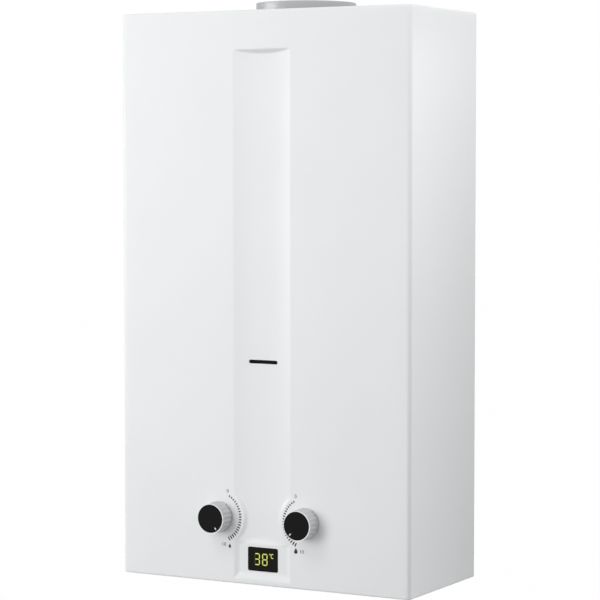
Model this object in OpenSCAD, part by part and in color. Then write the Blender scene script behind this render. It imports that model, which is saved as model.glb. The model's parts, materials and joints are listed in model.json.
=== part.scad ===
// Wall-hung gas water heater with a flue collar, two knobs and a small display.
// Millimetres. +X is the viewer's right, the front faces -Y, the wall is the plane y = 0 and +Z is up.
// The modules measure z from the foot of the casing; in_frame() then moves the origin to the hanging slots.

/* [Casing] */
// Width of the casing
case_w = 350; // [335:1:400]
// Height of the casing without the flue collar
case_h = 610; // [590:1:680]
// Depth from the wall to the front panel
case_d = 158; // [154:1:190]
// Thickness of the casing sheet
sheet = 1; // [0.8:0.1:1.4]
// Radius of the upright front edges
edge_r = 5; // [3:0.5:9]
// Radius of the top edges
top_r = 3; // [2:0.5:6]
// Width of the lip folded in round the foot
lip_w = 14; // [12:1:18]
// Thickness of the back plate
back_t = 1.2; // [1:0.1:1.6]
// Thickness of the bottom plate
bottom_t = 1; // [0.8:0.1:1.6]
// Depth of the flanges on the back plate
back_flange = 18; // [12:1:24]

/* [Front panel] */
// Width of the concave channel
channel_w = 69; // [60:1:76]
// Depth of the channel at its middle
channel_depth = 4; // [3:0.5:6]
// Distance from the casing top to the top edge of the channel
channel_drop = 41.5; // [30:0.5:60]
// Height of the sloped ledge at the top of the channel
ledge_h = 4.5; // [2:0.5:8]
// Width of the flat display recess below the channel
recess_w = 68; // [62:0.5:68]
// Depth of the display recess
recess_depth = 2.2; // [1.5:0.1:3]
// Height of the lower edge of the display recess
recess_foot = 6; // [4:0.5:9]
// Height of the sloped face at the foot of the display recess
recess_slope = 6; // [4:0.5:6]
// Height of the top edge of the display recess
recess_top = 44.5; // [43:0.5:50]
// Height of the ledge between the display recess and the channel
step_h = 5.2; // [3:0.1:8]
// Inward slope of the sides of the display recess
recess_side = 5; // [3:0.5:6]
// Length of the sight slot
sight_w = 35; // [25:1:45]
// Height of the sight slot
sight_h = 4; // [3:0.5:6]
// Height of the middle of the sight slot
sight_z = 238.5; // [225:0.5:255]
// Diameter of the flat round pad behind each knob
pad_d = 61; // [50:1:66]
// Thickness of the sight window
mica_t = 0.8; // [0.5:0.1:1.2]

/* [Display] */
// Width of the display window
window_w = 36.8; // [28:0.2:40]
// Height of the display window
window_h = 25.8; // [20:0.1:25.8]
// Corner radius of the display window
window_r = 2; // [1:0.5:4]
// Height of the middle of the display window
window_z = 27.7; // [27.6:0.1:28.2]
// Thickness of the display lens behind the panel
lens_t = 1.5; // [1:0.1:2]
// Depth of the display housing
housing_d = 12; // [11:0.5:18]
// Thickness of a circuit board
board_t = 1.6; // [1:0.2:2]

/* [Knobs] */
// Distance between the two knobs
knob_spacing = 105; // [98:1:112]
// Height of the knob axes
knob_z = 70.5; // [69:0.5:74]
// Diameter of a knob at its foot
knob_base_d = 33.4; // [33:0.1:35]
// Diameter of a knob at its front
knob_front_d = 32; // [31.5:0.1:32.4]
// Length of a knob
knob_len = 18.5; // [15:0.5:24]
// Gap between a knob and the panel
knob_gap = 1; // [0.5:0.1:2]
// Thickness of the knob skirt
knob_wall = 2.2; // [1.5:0.1:3]
// Diameter of the black cap in the front of a knob
cap_d = 30.2; // [27:0.2:30.6]
// Thickness of the knob cap
cap_t = 1.3; // [1:0.1:2]
// Number of flutes round a knob
flutes = 20; // [12:1:28]
// Radius of a flute
flute_r = 2.2; // [1.5:0.1:3]
// Depth of a flute at the foot of the knob
flute_depth = 0.8; // [0.4:0.1:1]
// Diameter of the valve spindles
spindle_d = 6; // [5:0.5:7]

/* [Flue] */
// Outer diameter of the flue collar
collar_d = 108.5; // [98:0.5:110]
// Wall of the flue collar
collar_wall = 0.8; // [0.6:0.1:1.2]
// Height of the collar above the casing
collar_rise = 11.5; // [8:0.5:40]
// Distance from the wall to the collar axis
collar_axis = 60; // [60:0.5:66]
// Width of the flange at the foot of the collar
collar_flange = 3.5; // [2:0.5:3.5]
// Height of the draught hood
hood_h = 110; // [100:1:130]
// Distance from the casing top to the hood top
hood_gap = 14; // [10:1:20]

/* [Wall fixing] */
// Distance from the casing top to the hanging slots
hang_drop = 55; // [40:1:80]
// Distance between the hanging slots
hang_spacing = 200; // [160:1:240]
// Width of a hanging slot
hang_slot_w = 9; // [7:0.5:12]
// Length of a hanging slot
hang_slot_l = 16; // [14:1:24]
// Height of the lower wall holes
low_hole_z = 150; // [130:1:160]
// Distance between the lower wall holes
low_hole_spacing = 280; // [240:1:290]
// Diameter of a lower wall hole
low_hole_d = 7; // [6:0.5:9]

/* [Heat exchanger] */
// Width of the exchanger shell
hx_w = 222; // [216:1:236]
// Depth of the exchanger shell
hx_d = 90; // [88:1:91]
// Thickness of the shell, hood and burner frame sheet
shell_t = 1; // [0.8:0.1:1.4]
// Corner radius of the exchanger shell
shell_r = 9; // [7:0.5:12]
// Height of the fin pack
fin_h = 55; // [45:1:65]
// Number of fins
fin_count = 36; // [20:1:40]
// Thickness of a fin
fin_t = 0.5; // [0.4:0.1:0.8]
// Outer diameter of an exchanger tube
tube_d = 14; // [11:0.5:14.5]
// Distance between exchanger tubes
tube_pitch = 17; // [16:0.5:17.5]
// Outer diameter of the water and gas pipes
pipe_d = 12; // [10:0.5:12]
// Wall of the pipes and tubes
pipe_wall = 1; // [0.6:0.1:1.5]

/* [Burner] */
// Number of burner bars
bar_count = 11; // [8:1:11]
// Distance between burner bars
bar_pitch = 18.5; // [17:0.5:19]
// Width of a burner bar
bar_w = 11; // [9:0.5:13]
// Height of a burner bar
bar_h = 50; // [44:1:54]
// Sheet of a burner bar
bar_t = 0.8; // [0.5:0.1:1]
// Height of the sight slot above the burner bars
flame_gap = 4; // [2:0.5:8]
// Height of the burner frame above the burner bars
flame_room = 22; // [19:1:30]
// Number of flame ports in a burner bar
port_count = 12; // [8:1:16]
// Diameter of the gas manifold
manifold_d = 16; // [14:0.5:18]
// Diameter of an injector
injector_d = 7; // [6:0.5:8]

/* [Valves] */
// Distance from the wall to the axis of the valves
valve_axis = 70; // [66:1:76]
// Depth of the valve bodies
valve_d = 48; // [42:1:52]
// Diameter of the diaphragm flange
flange_d = 68; // [66:1:74]
// Thickness of the diaphragm flange and cover
flange_t = 10; // [9:0.5:12]
// Thickness of the diaphragm
diaphragm_t = 2; // [1.5:0.1:3]
// Diameter of the push rod
rod_d = 6; // [5:0.5:7]
// Travel of the push rod
rod_travel = 4; // [2:0.5:4.5]
// Length of the microswitch lever from its pivot to the rod collar
lever_arm = 25; // [23:1:28]
// Diameter of the lever pivot pin
pivot_d = 2; // [1.5:0.1:2.5]
// Length of each pipe stub below the casing
stub_l = 14; // [10:1:15]
// Outer diameter of the stub threads
thread_d = 20.955; // [16.662, 20.955]
// Bore of the pipe stubs
stub_bore = 14; // [10:0.5:14]

/* [Battery box] */
// Diameter of a battery cell
cell_d = 34.2; // [32:0.1:34.2]
// Length of a battery cell with its button
cell_l = 61.5; // [58:0.5:62]
// Wall of the battery box
box_wall = 1.6; // [1.2:0.1:2]
// Thickness of the battery lid
lid_t = 1.7; // [1.4:0.1:1.7]
// Diameter of the lid hinge pin
hinge_d = 3; // [2:0.5:3]

/* [Control box] */
// Width of the control box
control_w = 68; // [50:1:70]
// Height of the control box
control_h = 90; // [70:1:95]
// Depth of the control box
control_d = 36; // [28:1:40]

/* [Hidden] */
$fn = 48;

// Clearances
fit = 0.3;
slide_fit = 0.05;
press_gap = 0.1;
over = 1;

// Casing levels
front_y = -case_d;
hang_z = case_h - hang_drop;
plate_top = bottom_t + sheet;
back_w = case_w - 2 * sheet - 2 * fit;
bottom_w = back_w - 2 * back_t - 2 * fit;

// Front panel
channel_top = case_h - channel_drop;
channel_r = (pow(channel_w / 2, 2) + pow(channel_depth, 2)) / (2 * channel_depth);
channel_y = front_y + channel_depth - channel_r;
recess_y = front_y + recess_depth;
knob_x = knob_spacing / 2;
knob_y = front_y - knob_gap;
spindle_room = 5;
knob_hole_d = spindle_d + 2 * spindle_room;
lens_rim = 1.2;
housing_wall = 1.2;
board_seat = 3;
housing_w = window_w + 2 * (lens_rim + fit + housing_wall);
housing_h = window_h + 2 * (lens_rim + fit + housing_wall);
housing_back = recess_y + sheet + housing_d;
notch_r = collar_d / 2 + collar_flange + 0.5;

// Back plate beads
bead_w = 12;
bead_d = 3;
bead_x = case_w / 2 - 25;
bead_z = [200, hang_z - 40];

// Bottom vents: each row has a first place along x, a place along y and a number of slots
vent_w = 4;
vent_l = 28;
vent_pitch = 12;
front_vents = [-50, front_y + 32, 15];
rear_vents = [-90, -22, 16];

// Knob levels, from its foot
cap_sink = 0.2;
knob_roof = 2.4;
cap_seat = knob_len - cap_t - cap_sink;
roof_z = cap_seat - knob_roof;

// Cover screws
screw_d = 3.8;
screw_hole_d = screw_d + 0.8;
screw_head_d = 7.2;
screw_head_h = 1.2;
screw_l = 9;
screw_x = case_w / 2 - lip_w / 2;
screw_y = [-35, front_y + 38];

// Heat exchanger levels
hx_y = -collar_axis;
hx_front = hx_y - hx_d / 2;
hx_back = hx_y + hx_d / 2;
hood_top = case_h - hood_gap;
fin_top = hood_top - hood_h;
fin_foot = fin_top - fin_h;
tube_z = fin_top - fin_h / 2;
tube_stub = 6;
tubes = [-2, -1, 0, 1, 2];
frame_drop = 6;
bar_top = sight_z - flame_gap;
bar_foot = bar_top - bar_h;
frame_top = bar_top + flame_room;
frame_foot = bar_foot - frame_drop;
hood_half_d = collar_axis - back_t - 2 * fit;
collar_top = case_h + collar_rise;

// Pipes
pipe_r = pipe_d / 2;
wrap_gap = 0.6;
bend_r = shell_r + pipe_r + wrap_gap;
wrap_x = hx_w / 2 + pipe_r + wrap_gap;
wrap_front = hx_front - pipe_r - wrap_gap;
wrap_back = hx_back + pipe_r + wrap_gap;
riser_gap = 4;
riser_x = hx_w / 2 + tube_stub + bend_r + riser_gap;
wrap_rise = 45;
wrap_z = frame_top + wrap_rise;
cross_z = 140;
gas_cross_z = 126;
hot_y = -60;
hot_bend_z = 110;
hot_flange_t = 3;
hot_stub_h = 22;
hot_top = plate_top + hot_flange_t + hot_stub_h;

// Manifold
manifold_gap = 14;
manifold_rise = 6;
manifold_end = 13;
manifold_y = hx_front - manifold_gap;
manifold_z = bar_foot + manifold_rise;
manifold_l = bar_pitch * (bar_count - 1) + 2 * manifold_end;
inlet_drop = 3;

// Electrodes
electrode_x = 40;
electrode_rise = 9;
electrode_z = bar_top + electrode_rise;
ceramic_d = 6;
ceramic_l = 23;
ceramic_in = hx_front + 7;
ceramic_front = ceramic_in - ceramic_l;
terminal_l = 5;

// Valves
valve_y = -valve_axis;
valve_front = valve_y - valve_d / 2;
valve_back = valve_y + valve_d / 2;
gas_foot = knob_z - 23;
gas_top = knob_z + 13.5;
gas_right = -12;
gas_left = -knob_x - 40;
gas_in_x = -knob_x - 20;
gas_out_x = -knob_x - 6;
water_foot = knob_z - 20;
water_top = knob_z + 25;
water_left = knob_x - 18;
water_right = knob_x + 22;
valve_r = 6;
boss_h = 8;
boss_d = 24;
boss_root = 6;
gland_h = 12;
gland_d = 18;
gland_neck_d = 13;
spindle_in = 10;
flange_x = water_left - flange_t;
diaphragm_x = flange_x - diaphragm_t;
cover_x = diaphragm_x - flange_t;
hub_l = 10;
hub_d = 28;
disc_t = 1.5;
disc_d = 40;
cavity_d = disc_d + 6;
disc_x = diaphragm_x - fit - disc_t;
cavity_x = disc_x - rod_travel - fit;
bolt_circle = flange_d - 10;
bolt_d = 4;
rod_collar_d = 12;
rod_collar_t = 3;
rod_collar_x = cover_x - hub_l - 2 - rod_collar_t;
rod_in = 14;
rod_end = gas_right - rod_in;
blade_t = 1;
blade_w = 8;
blade_x = rod_collar_x - fit - blade_t;
pivot_x = blade_x + blade_t / 2;
pivot_z = knob_z + rod_collar_d / 2 + lever_arm;
cheek_t = 1;
switch_w = blade_w + 2 * fit;
switch_ys = [valve_y - switch_w / 2, valve_y + switch_w / 2];
switch_foot = gas_top + cheek_t;
switch_top = pivot_z - 1;
nut_d = 26;
nut_h = 14;
stub_hex_d = 28;
stub_hex_z = plate_top + 10;
stub_room = 2;

// Battery box
bay_w = 2 * cell_d + 3 * fit;
bay_d = cell_d + 2 * fit;
box_x = -case_w / 2 + lip_w + 2;
box_y = front_y + lip_w + 2;
box_w = bay_w + 2 * box_wall;
box_d = bay_d + 2 * box_wall;
box_back = box_y + box_d;
cell_gap = 0.4;
contact_room = 1.2;
cell_z = plate_top + cell_gap;
box_top = cell_z + cell_l + contact_room + box_wall;
hinge_out = 3.2;
hinge_y = box_back + hinge_out;
hinge_z = lid_t / 2;
knuckle_d = 5;
ear_w = 8;
ear_h = 4;
hatch_gap = 0.6;

// Control box
control_gap = 5;
control_x = case_w / 2 - sheet - back_t - control_gap - control_w;
control_z = 20;
control_r = 4;
control_wall = 2;

// Cable routes, each a list of points chosen by hand
lead_d = 4;
wire_d = 3;
control_top = [control_x + 20, -back_t - control_d / 2, control_z + control_h];
electrode_end = [electrode_x, ceramic_front - terminal_l, electrode_z];
ignition_route = [
    control_top, control_top + [0, 0, 12], [104, -62, 122], [92, -108, 124],
    [76, -134, 160], [52, -138, 215], electrode_end + [0, -8, 0], electrode_end,
];
sensor_start = control_top + [14, 0, 0];
sensor_end = [-electrode_x, ceramic_front - terminal_l, electrode_z];
sensor_route = [
    sensor_start, sensor_start + [0, 0, 16], [122, -100, 124], [100, -138, 150],
    [40, -142, 165], [-20, -140, 205], sensor_end + [0, -8, 0], sensor_end,
];
display_end = [control_x, -back_t - control_d / 2, control_z + 30];
display_route = [
    [8, housing_back, window_z], [8, housing_back + 12, window_z], [40, -118, 24],
    [82, -100, 22], [90, -50, 30], display_end - [14, 0, 0], display_end,
];
battery_start = [box_x + box_w - 20, box_y + box_d / 2, box_top];
battery_end = [control_x, -back_t - control_d / 2, control_z + 75];
battery_route = [
    battery_start, battery_start + [0, 0, 12], [-80, -128, 104], [-20, -128, 122],
    [50, -124, 122], [84, -90, 118], battery_end - [14, 0, 0], battery_end,
];
switch_start = [gas_right - 14, valve_y + switch_w / 2 - 2, switch_top];
switch_end = [control_x, -back_t - control_d / 2, control_z + 60];
switch_route = [
    switch_start, switch_start + [0, 0, 10], [10, -48, 112], [50, -36, 106],
    [80, -24, 90], switch_end - [14, 0, 0], switch_end,
];

// Moves a piece measured from the casing foot into the part's frame
module in_frame() {
    translate([0, 0, -hang_z]) children();
}

// Box given by its ranges along x, y and z
module block(x, y, z) {
    translate([x[0], y[0], z[0]]) cube([x[1] - x[0], y[1] - y[0], z[1] - z[0]]);
}

// Stands a shape drawn in x and z on the plane y, rising towards the front
module forward(y) {
    translate([0, y, 0]) rotate([90, 0, 0]) children();
}

// Stands a shape drawn in y and z on the plane x, rising towards +X
module along_x(x) {
    translate([x, 0, 0]) rotate([90, 0, 90]) children();
}

// Centred rectangle with round corners
module round_rect(w, h, r) {
    square([w - 2 * r, h], center = true);
    square([w, h - 2 * r], center = true);
    for (sx = [-1, 1], sy = [-1, 1]) {
        translate([sx * (w / 2 - r), sy * (h / 2 - r)]) circle(r);
    }
}

// Rectangle a by b whose two upper corners are round
module upright(a, b, r) {
    translate([a[0], b[0]]) square([a[1] - a[0], b[1] - b[0] - r]);
    translate([a[0] + r, b[0]]) square([a[1] - a[0] - 2 * r, b[1] - b[0]]);
    for (x = [a[0] + r, a[1] - r]) {
        translate([x, b[1] - r]) circle(r);
    }
}

// Slot of length l and width w along x
module slot_shape(l, w) {
    square([l - w, w], center = true);
    for (s = [-1, 1]) {
        translate([s * (l - w) / 2, 0]) circle(d = w);
    }
}

// Places on a bolt circle
module ring_of(count, d, start = 0) {
    for (i = [0 : count - 1]) {
        rotate(start + i * 360 / count) translate([d / 2, 0]) children();
    }
}

function unit(v) = v / norm(v);

// Straight round rod from a to b
module rod_between(a, b, r) {
    v = b - a;
    turn = atan2(v[1], v[0]);
    lean = acos(v[2] / norm(v));
    translate(a) rotate([0, lean, turn]) cylinder(r = r, h = norm(v));
}

// Length taken off each side of a corner by a bend
function bend_trim(a, b, c, bend) = bend * tan(acos(unit(b - a) * unit(c - b)) / 2);

// Round bend at the corner b of the line a, b, c
module bend_at(a, b, c, r, bend) {
    d1 = unit(b - a);
    d2 = unit(c - b);
    turn = acos(d1 * d2);
    start = b - d1 * bend * tan(turn / 2);
    inward = unit(d2 - d1 * (d1 * d2));
    centre = start + inward * bend;
    e1 = -inward;
    e3 = cross(e1, d1);
    multmatrix([
        [e1[0], d1[0], e3[0], centre[0]],
        [e1[1], d1[1], e3[1], centre[1]],
        [e1[2], d1[2], e3[2], centre[2]],
        [0, 0, 0, 1],
    ]) rotate_extrude(angle = turn) translate([bend, 0]) circle(r);
}

// Round bar along a line of points, bent round at each inner one
module bent_bar(pts, r, bend) {
    n = len(pts);
    for (i = [0 : n - 2]) {
        d = unit(pts[i + 1] - pts[i]);
        t0 = i > 0 ? bend_trim(pts[i - 1], pts[i], pts[i + 1], bend) : 0;
        t1 = i < n - 2 ? bend_trim(pts[i], pts[i + 1], pts[i + 2], bend) : 0;
        rod_between(pts[i] + d * t0, pts[i + 1] - d * t1, r);
    }
    for (i = [1 : n - 2]) {
        bend_at(pts[i - 1], pts[i], pts[i + 1], r, bend);
    }
}

// Pipe along a line of points
module pipe_run(pts) {
    difference() {
        bent_bar(pts, pipe_r, bend_r);
        bent_bar(pts, pipe_r - pipe_wall, bend_r);
    }
}

// Smooth curve through points, with a few steps between neighbours
function spline_point(a, b, c, d, t) =
    0.5 * (2 * b + (c - a) * t + (2 * a - 5 * b + 4 * c - d) * t * t + (3 * b - a - 3 * c + d) * pow(t, 3));
function spline(p, steps) = [
    for (i = [0 : len(p) - 2], k = [0 : steps - 1])
        spline_point(p[max(i - 1, 0)], p[i], p[i + 1], p[min(i + 2, len(p) - 1)], k / steps),
    p[len(p) - 1],
];
function tangent(p, i) = unit(p[min(i + 1, len(p) - 1)] - p[max(i - 1, 0)]);
function tangents(route, path) = [
    unit(route[1] - route[0]),
    for (i = [1 : len(path) - 2]) tangent(path, i),
    unit(route[len(route) - 1] - route[len(route) - 2]),
];
function carried(normal, t) = unit(normal - t * (normal * t));
function normals(along, i = 0, last = [0.31, 0.87, 0.38]) =
    i == len(along) ? [] : let (n = carried(last, along[i])) concat([n], normals(along, i + 1, n));

// Cable of diameter d along a route
module cable(route, d) {
    sides = 8;
    path = spline(route, 5);
    along = tangents(route, path);
    across = normals(along);
    rings = len(path);
    points = [
        for (i = [0 : rings - 1], k = [0 : sides - 1])
            path[i] + d / 2 * (cos(k * 360 / sides) * across[i]
                + sin(k * 360 / sides) * cross(along[i], across[i])),
    ];
    walls = [
        for (i = [0 : rings - 2], k = [0 : sides - 1])
            let (a = i * sides + k, b = i * sides + (k + 1) % sides) [b, a, a + sides, b + sides],
    ];
    foot = [for (k = [0 : sides - 1]) k];
    head = [for (k = [sides - 1 : -1 : 0]) (rings - 1) * sides + k];
    polyhedron(points, concat(walls, [foot, head]), convexity = 6);
}

// Casing block inset by a sheet, from a foot level up, open behind the plane back
module cover_form(inset, foot, back) {
    r = max(edge_r - inset, 0.5 * edge_r);
    half = case_w / 2 - inset;
    front = front_y + inset;
    top = case_h - inset;
    intersection() {
        translate([0, 0, foot]) linear_extrude(top - foot) {
            translate([-half, front + r]) square([2 * half, back - front - r]);
            translate([-half + r, front]) square([2 * half - 2 * r, 2 * r]);
            for (s = [-1, 1]) {
                translate([s * (half - r), front + r]) circle(r);
            }
        }
        forward(back + over) linear_extrude(case_d + back + 2 * over) {
            upright([-half, half], [foot, top], max(top_r - inset, 0.5 * top_r));
        }
        along_x(-case_w) linear_extrude(2 * case_w) {
            upright([front, case_d], [foot, top], max(top_r - inset, 0.5 * top_r));
        }
    }
}

// Cone that keeps the round pad behind a knob out of the channel
module knob_pads(grow) {
    reach = channel_depth + 3 * over;
    foot_r = pad_d / 2 - over - sqrt(2) * grow;
    for (s = [-1, 1]) {
        translate([s * knob_x, front_y - over, knob_z]) rotate([-90, 0, 0]) {
            cylinder(h = reach, r1 = foot_r, r2 = foot_r + reach);
        }
    }
}

// Concave channel with a sloped ledge at its head and its foot
module channel_form(grow) {
    head_slope = ledge_h / channel_depth;
    foot_slope = step_h / (channel_depth - recess_depth);
    deep = channel_depth + grow + over;
    head = channel_top + grow;
    foot = recess_top - grow;
    intersection() {
        translate([0, channel_y, 0]) cylinder(r = channel_r + grow, h = case_h);
        along_x(-channel_w) linear_extrude(2 * channel_w) polygon([
            [front_y - over, head + head_slope * over],
            [front_y + deep, head - head_slope * deep],
            [front_y + deep, foot + foot_slope * (deep - recess_depth)],
            [recess_y, foot],
            [front_y - over, foot],
        ]);
    }
}

// Flat recess for the display, with sloped sides and foot
module recess_form(grow) {
    side_slope = recess_side / recess_depth;
    foot_slope = recess_slope / recess_depth;
    deep = recess_depth + grow;
    half = recess_w / 2 + grow * side_slope;
    foot = recess_foot - grow * foot_slope;
    head = recess_top + over + grow;
    intersection() {
        linear_extrude(case_h) polygon([
            [-half - side_slope * over, front_y - over],
            [-half + side_slope * deep, front_y + deep],
            [half - side_slope * deep, front_y + deep],
            [half + side_slope * over, front_y - over],
        ]);
        along_x(-channel_w) linear_extrude(2 * channel_w) polygon([
            [front_y - over, foot - foot_slope * over],
            [front_y + deep, foot + foot_slope * deep],
            [front_y + deep, head],
            [front_y - over, head],
        ]);
    }
}

module panel_cut(grow) {
    difference() {
        union() {
            channel_form(grow);
            recess_form(grow);
        }
        knob_pads(grow);
    }
}

module flue_notch() {
    translate([0, hx_y, case_h - 2 * sheet]) linear_extrude(3 * sheet) {
        circle(notch_r);
        translate([-notch_r, 0]) square([2 * notch_r, collar_axis + over]);
    }
}

module panel_holes() {
    forward(0) linear_extrude(case_d + over) {
        translate([0, sight_z]) slot_shape(sight_w, sight_h);
        translate([0, window_z]) round_rect(window_w, window_h, window_r);
        for (s = [-1, 1]) {
            translate([s * knob_x, knob_z]) circle(d = knob_hole_d);
        }
    }
}

module at_cover_screws() {
    for (s = [-1, 1], y = screw_y) {
        translate([s * screw_x, y, 0]) children();
    }
}

module front_cover() {
    color("whitesmoke") in_frame() difference() {
        cover_form(0, 0, 0);
        panel_cut(0);
        difference() {
            cover_form(sheet, sheet, over);
            panel_cut(sheet);
        }
        block([-case_w / 2 + lip_w, case_w / 2 - lip_w], [front_y + lip_w, over], [-over, 2 * sheet]);
        flue_notch();
        panel_holes();
        at_cover_screws() translate([0, 0, -over]) cylinder(d = screw_hole_d, h = sheet + 2 * over);
    }
}

// Upright beads on the back plate, as slots grown by a sheet and carried forward from the wall
module back_beads(start, rise, grow) {
    length = bead_z[1] - bead_z[0] + 2 * grow;
    forward(start) linear_extrude(rise) for (s = [-1, 1]) {
        translate([s * bead_x, (bead_z[0] + bead_z[1]) / 2]) rotate(90) {
            slot_shape(length, bead_w + 2 * grow);
        }
    }
}

module back_plate() {
    foot = sheet + fit;
    top = case_h - sheet - fit;
    color("lightsteelblue") in_frame() difference() {
        intersection() {
            forward(0) linear_extrude(back_flange) upright([-back_w / 2, back_w / 2], [foot, top], top_r);
            union() {
                block([-back_w / 2, back_w / 2], [-back_t, 0], [foot, top]);
                for (s = [-1, 1]) {
                    edge = s * (back_w / 2 - back_t / 2);
                    block([edge - back_t / 2, edge + back_t / 2], [-back_flange, 0], [foot, top]);
                }
                block([-back_w / 2, back_w / 2], [-back_flange, 0], [top - back_t, top]);
                back_beads(0, bead_d + back_t, back_t);
            }
        }
        back_beads(over, bead_d + over, 0);
        translate([0, hx_y, top - 2 * back_t]) cylinder(r = notch_r, h = 3 * back_t);
        forward(over) linear_extrude(back_t + 2 * over) {
            for (s = [-1, 1]) {
                translate([s * hang_spacing / 2, hang_z]) slot_shape(hang_slot_l, hang_slot_w);
                translate([s * low_hole_spacing / 2, low_hole_z]) circle(d = low_hole_d);
            }
        }
    }
}

module vent_row(row) {
    for (i = [0 : row[2] - 1]) {
        translate([row[0] + i * vent_pitch, row[1]]) rotate(90) slot_shape(vent_l, vent_w);
    }
}

module bottom_plate() {
    front = front_y + sheet + fit;
    upstand = 14;
    color("gainsboro") in_frame() difference() {
        union() {
            translate([0, 0, sheet]) linear_extrude(bottom_t) mirror([0, 1]) {
                upright([-bottom_w / 2, bottom_w / 2], [back_t, -front], edge_r);
            }
            block([-bottom_w / 2, bottom_w / 2], [-back_t - bottom_t, -back_t], [sheet, sheet + upstand]);
        }
        translate([0, 0, sheet - over]) linear_extrude(bottom_t + 2 * over) {
            vent_row(front_vents);
            vent_row(rear_vents);
            translate([gas_in_x, valve_y]) circle(d = stub_hex_d + 2 * stub_room);
            translate([knob_x, valve_y]) circle(d = stub_hex_d + 2 * stub_room);
            translate([-riser_x, hot_y]) circle(d = thread_d + stub_room);
            translate([box_x - hatch_gap, box_y - hatch_gap]) {
                square([box_w + 2 * hatch_gap, hinge_y + knuckle_d / 2 - box_y + 2 * hatch_gap]);
            }
        }
        at_cover_screws() cylinder(d = screw_d + 2 * press_gap, h = plate_top + over);
    }
}

module cover_screws() {
    color("silver") in_frame() at_cover_screws() {
        cylinder(d = screw_d, h = screw_l);
        translate([0, 0, -screw_head_h]) cylinder(d = screw_head_d, h = screw_head_h);
    }
}

module viewing_window() {
    margin = 5;
    near = channel_r + sheet + slide_fit;
    color("lightyellow") in_frame() intersection() {
        translate([0, channel_y, 0]) difference() {
            cylinder(r = near + mica_t, h = case_h);
            translate([0, 0, -over]) cylinder(r = near, h = case_h + 2 * over);
        }
        block([-sight_w / 2 - margin, sight_w / 2 + margin], [front_y, 0],
            [sight_z - sight_h / 2 - margin, sight_z + sight_h / 2 + margin]);
    }
}

module display_lens() {
    rear = recess_y + sheet + lens_t;
    color("black") in_frame() translate([0, 0, window_z]) {
        forward(rear) linear_extrude(rear - recess_y) {
            round_rect(window_w - 2 * press_gap, window_h - 2 * press_gap, window_r);
        }
        forward(rear) linear_extrude(lens_t) {
            round_rect(window_w + 2 * lens_rim, window_h + 2 * lens_rim, window_r);
        }
    }
}

module display_housing() {
    inner_w = housing_w - 2 * housing_wall;
    inner_h = housing_h - 2 * housing_wall;
    shelf = 1.5;
    color("dimgray") in_frame() translate([0, 0, window_z]) difference() {
        forward(housing_back) linear_extrude(housing_d) round_rect(housing_w, housing_h, window_r);
        forward(housing_back - housing_wall - board_seat) linear_extrude(housing_d) {
            square([inner_w, inner_h], center = true);
        }
        forward(housing_back - housing_wall) linear_extrude(housing_d) {
            square([inner_w - 2 * shelf, inner_h - 2 * shelf], center = true);
        }
    }
}

module display_board() {
    rear = housing_back - housing_wall - board_seat;
    edge = housing_wall + fit;
    digits_t = 3;
    digits_margin = 4;
    color("darkgreen") in_frame() translate([0, 0, window_z]) {
        forward(rear) linear_extrude(board_t) {
            square([housing_w - 2 * edge, housing_h - 2 * edge], center = true);
        }
        forward(rear - board_t) linear_extrude(digits_t) {
            square([window_w - 2 * digits_margin, window_h - 2 * digits_margin], center = true);
        }
    }
}

// Fluted knob standing on its foot, hollow behind, with a hub and a seat for its cap
module knob_form() {
    base_r = knob_base_d / 2;
    front_r = knob_front_d / 2;
    seat_r = cap_d / 2 + slide_fit;
    hub_r = spindle_d / 2 + 2.6;
    hub_foot = 2;
    bevel = 0.35;
    taper = atan((base_r - front_r) / knob_len);
    flute_end = 3.5;
    flute_l = knob_len - flute_end;
    difference() {
        rotate_extrude() polygon([
            [0, cap_seat], [seat_r, cap_seat], [seat_r, knob_len], [front_r - bevel, knob_len],
            [front_r, knob_len - bevel], [base_r, 0], [base_r - knob_wall, 0],
            [front_r - knob_wall, roof_z], [hub_r, roof_z], [hub_r, hub_foot], [0, hub_foot],
        ]);
        translate([0, 0, -over]) cylinder(d = spindle_d + 2 * slide_fit, h = roof_z + over);
        ring_of(flutes, knob_base_d + 2 * (flute_r - flute_depth)) {
            rotate([0, -taper / 2, 0]) translate([0, 0, -over]) cylinder(r = flute_r, h = flute_l + over);
        }
    }
}

module at_knob(side) {
    in_frame() translate([side * knob_x, 0, knob_z]) forward(knob_y) children();
}

module knob_cap() {
    translate([0, 0, cap_seat]) cylinder(d = cap_d, h = cap_t);
}

// Spindle from inside a valve to inside the knob's hub
module spindle(side) {
    tip = roof_z - fit;
    rear = valve_front + spindle_in;
    in_frame() translate([side * knob_x, 0, knob_z]) {
        forward(rear) cylinder(d = spindle_d, h = rear - knob_y + tip);
    }
}

module gas_knob() {
    color("silver") at_knob(-1) knob_form();
}

module gas_knob_cap() {
    color("black") at_knob(-1) knob_cap();
}

module gas_spindle() {
    color("goldenrod") spindle(-1);
}

module water_knob() {
    color("silver") at_knob(1) knob_form();
}

module water_knob_cap() {
    color("black") at_knob(1) knob_cap();
}

module water_spindle() {
    color("goldenrod") spindle(1);
}

module spindle_glands() {
    color("goldenrod") in_frame() for (s = [-1, 1]) {
        translate([s * knob_x, 0, knob_z]) forward(valve_front) difference() {
            union() {
                cylinder(d = gland_d, h = gland_h / 2, $fn = 6);
                cylinder(d = gland_neck_d, h = gland_h);
            }
            translate([0, 0, -over]) cylinder(d = spindle_d + 2 * slide_fit, h = gland_h + 2 * over);
        }
    }
}

module flue_collar() {
    r = collar_d / 2;
    color("silver") in_frame() translate([0, hx_y, 0]) rotate_extrude() polygon([
        [r - collar_wall, hood_top], [r + collar_flange, hood_top],
        [r + collar_flange, hood_top + collar_wall],
        [r, hood_top + collar_wall], [r, collar_top], [r - collar_wall, collar_top],
    ]);
}

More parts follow.
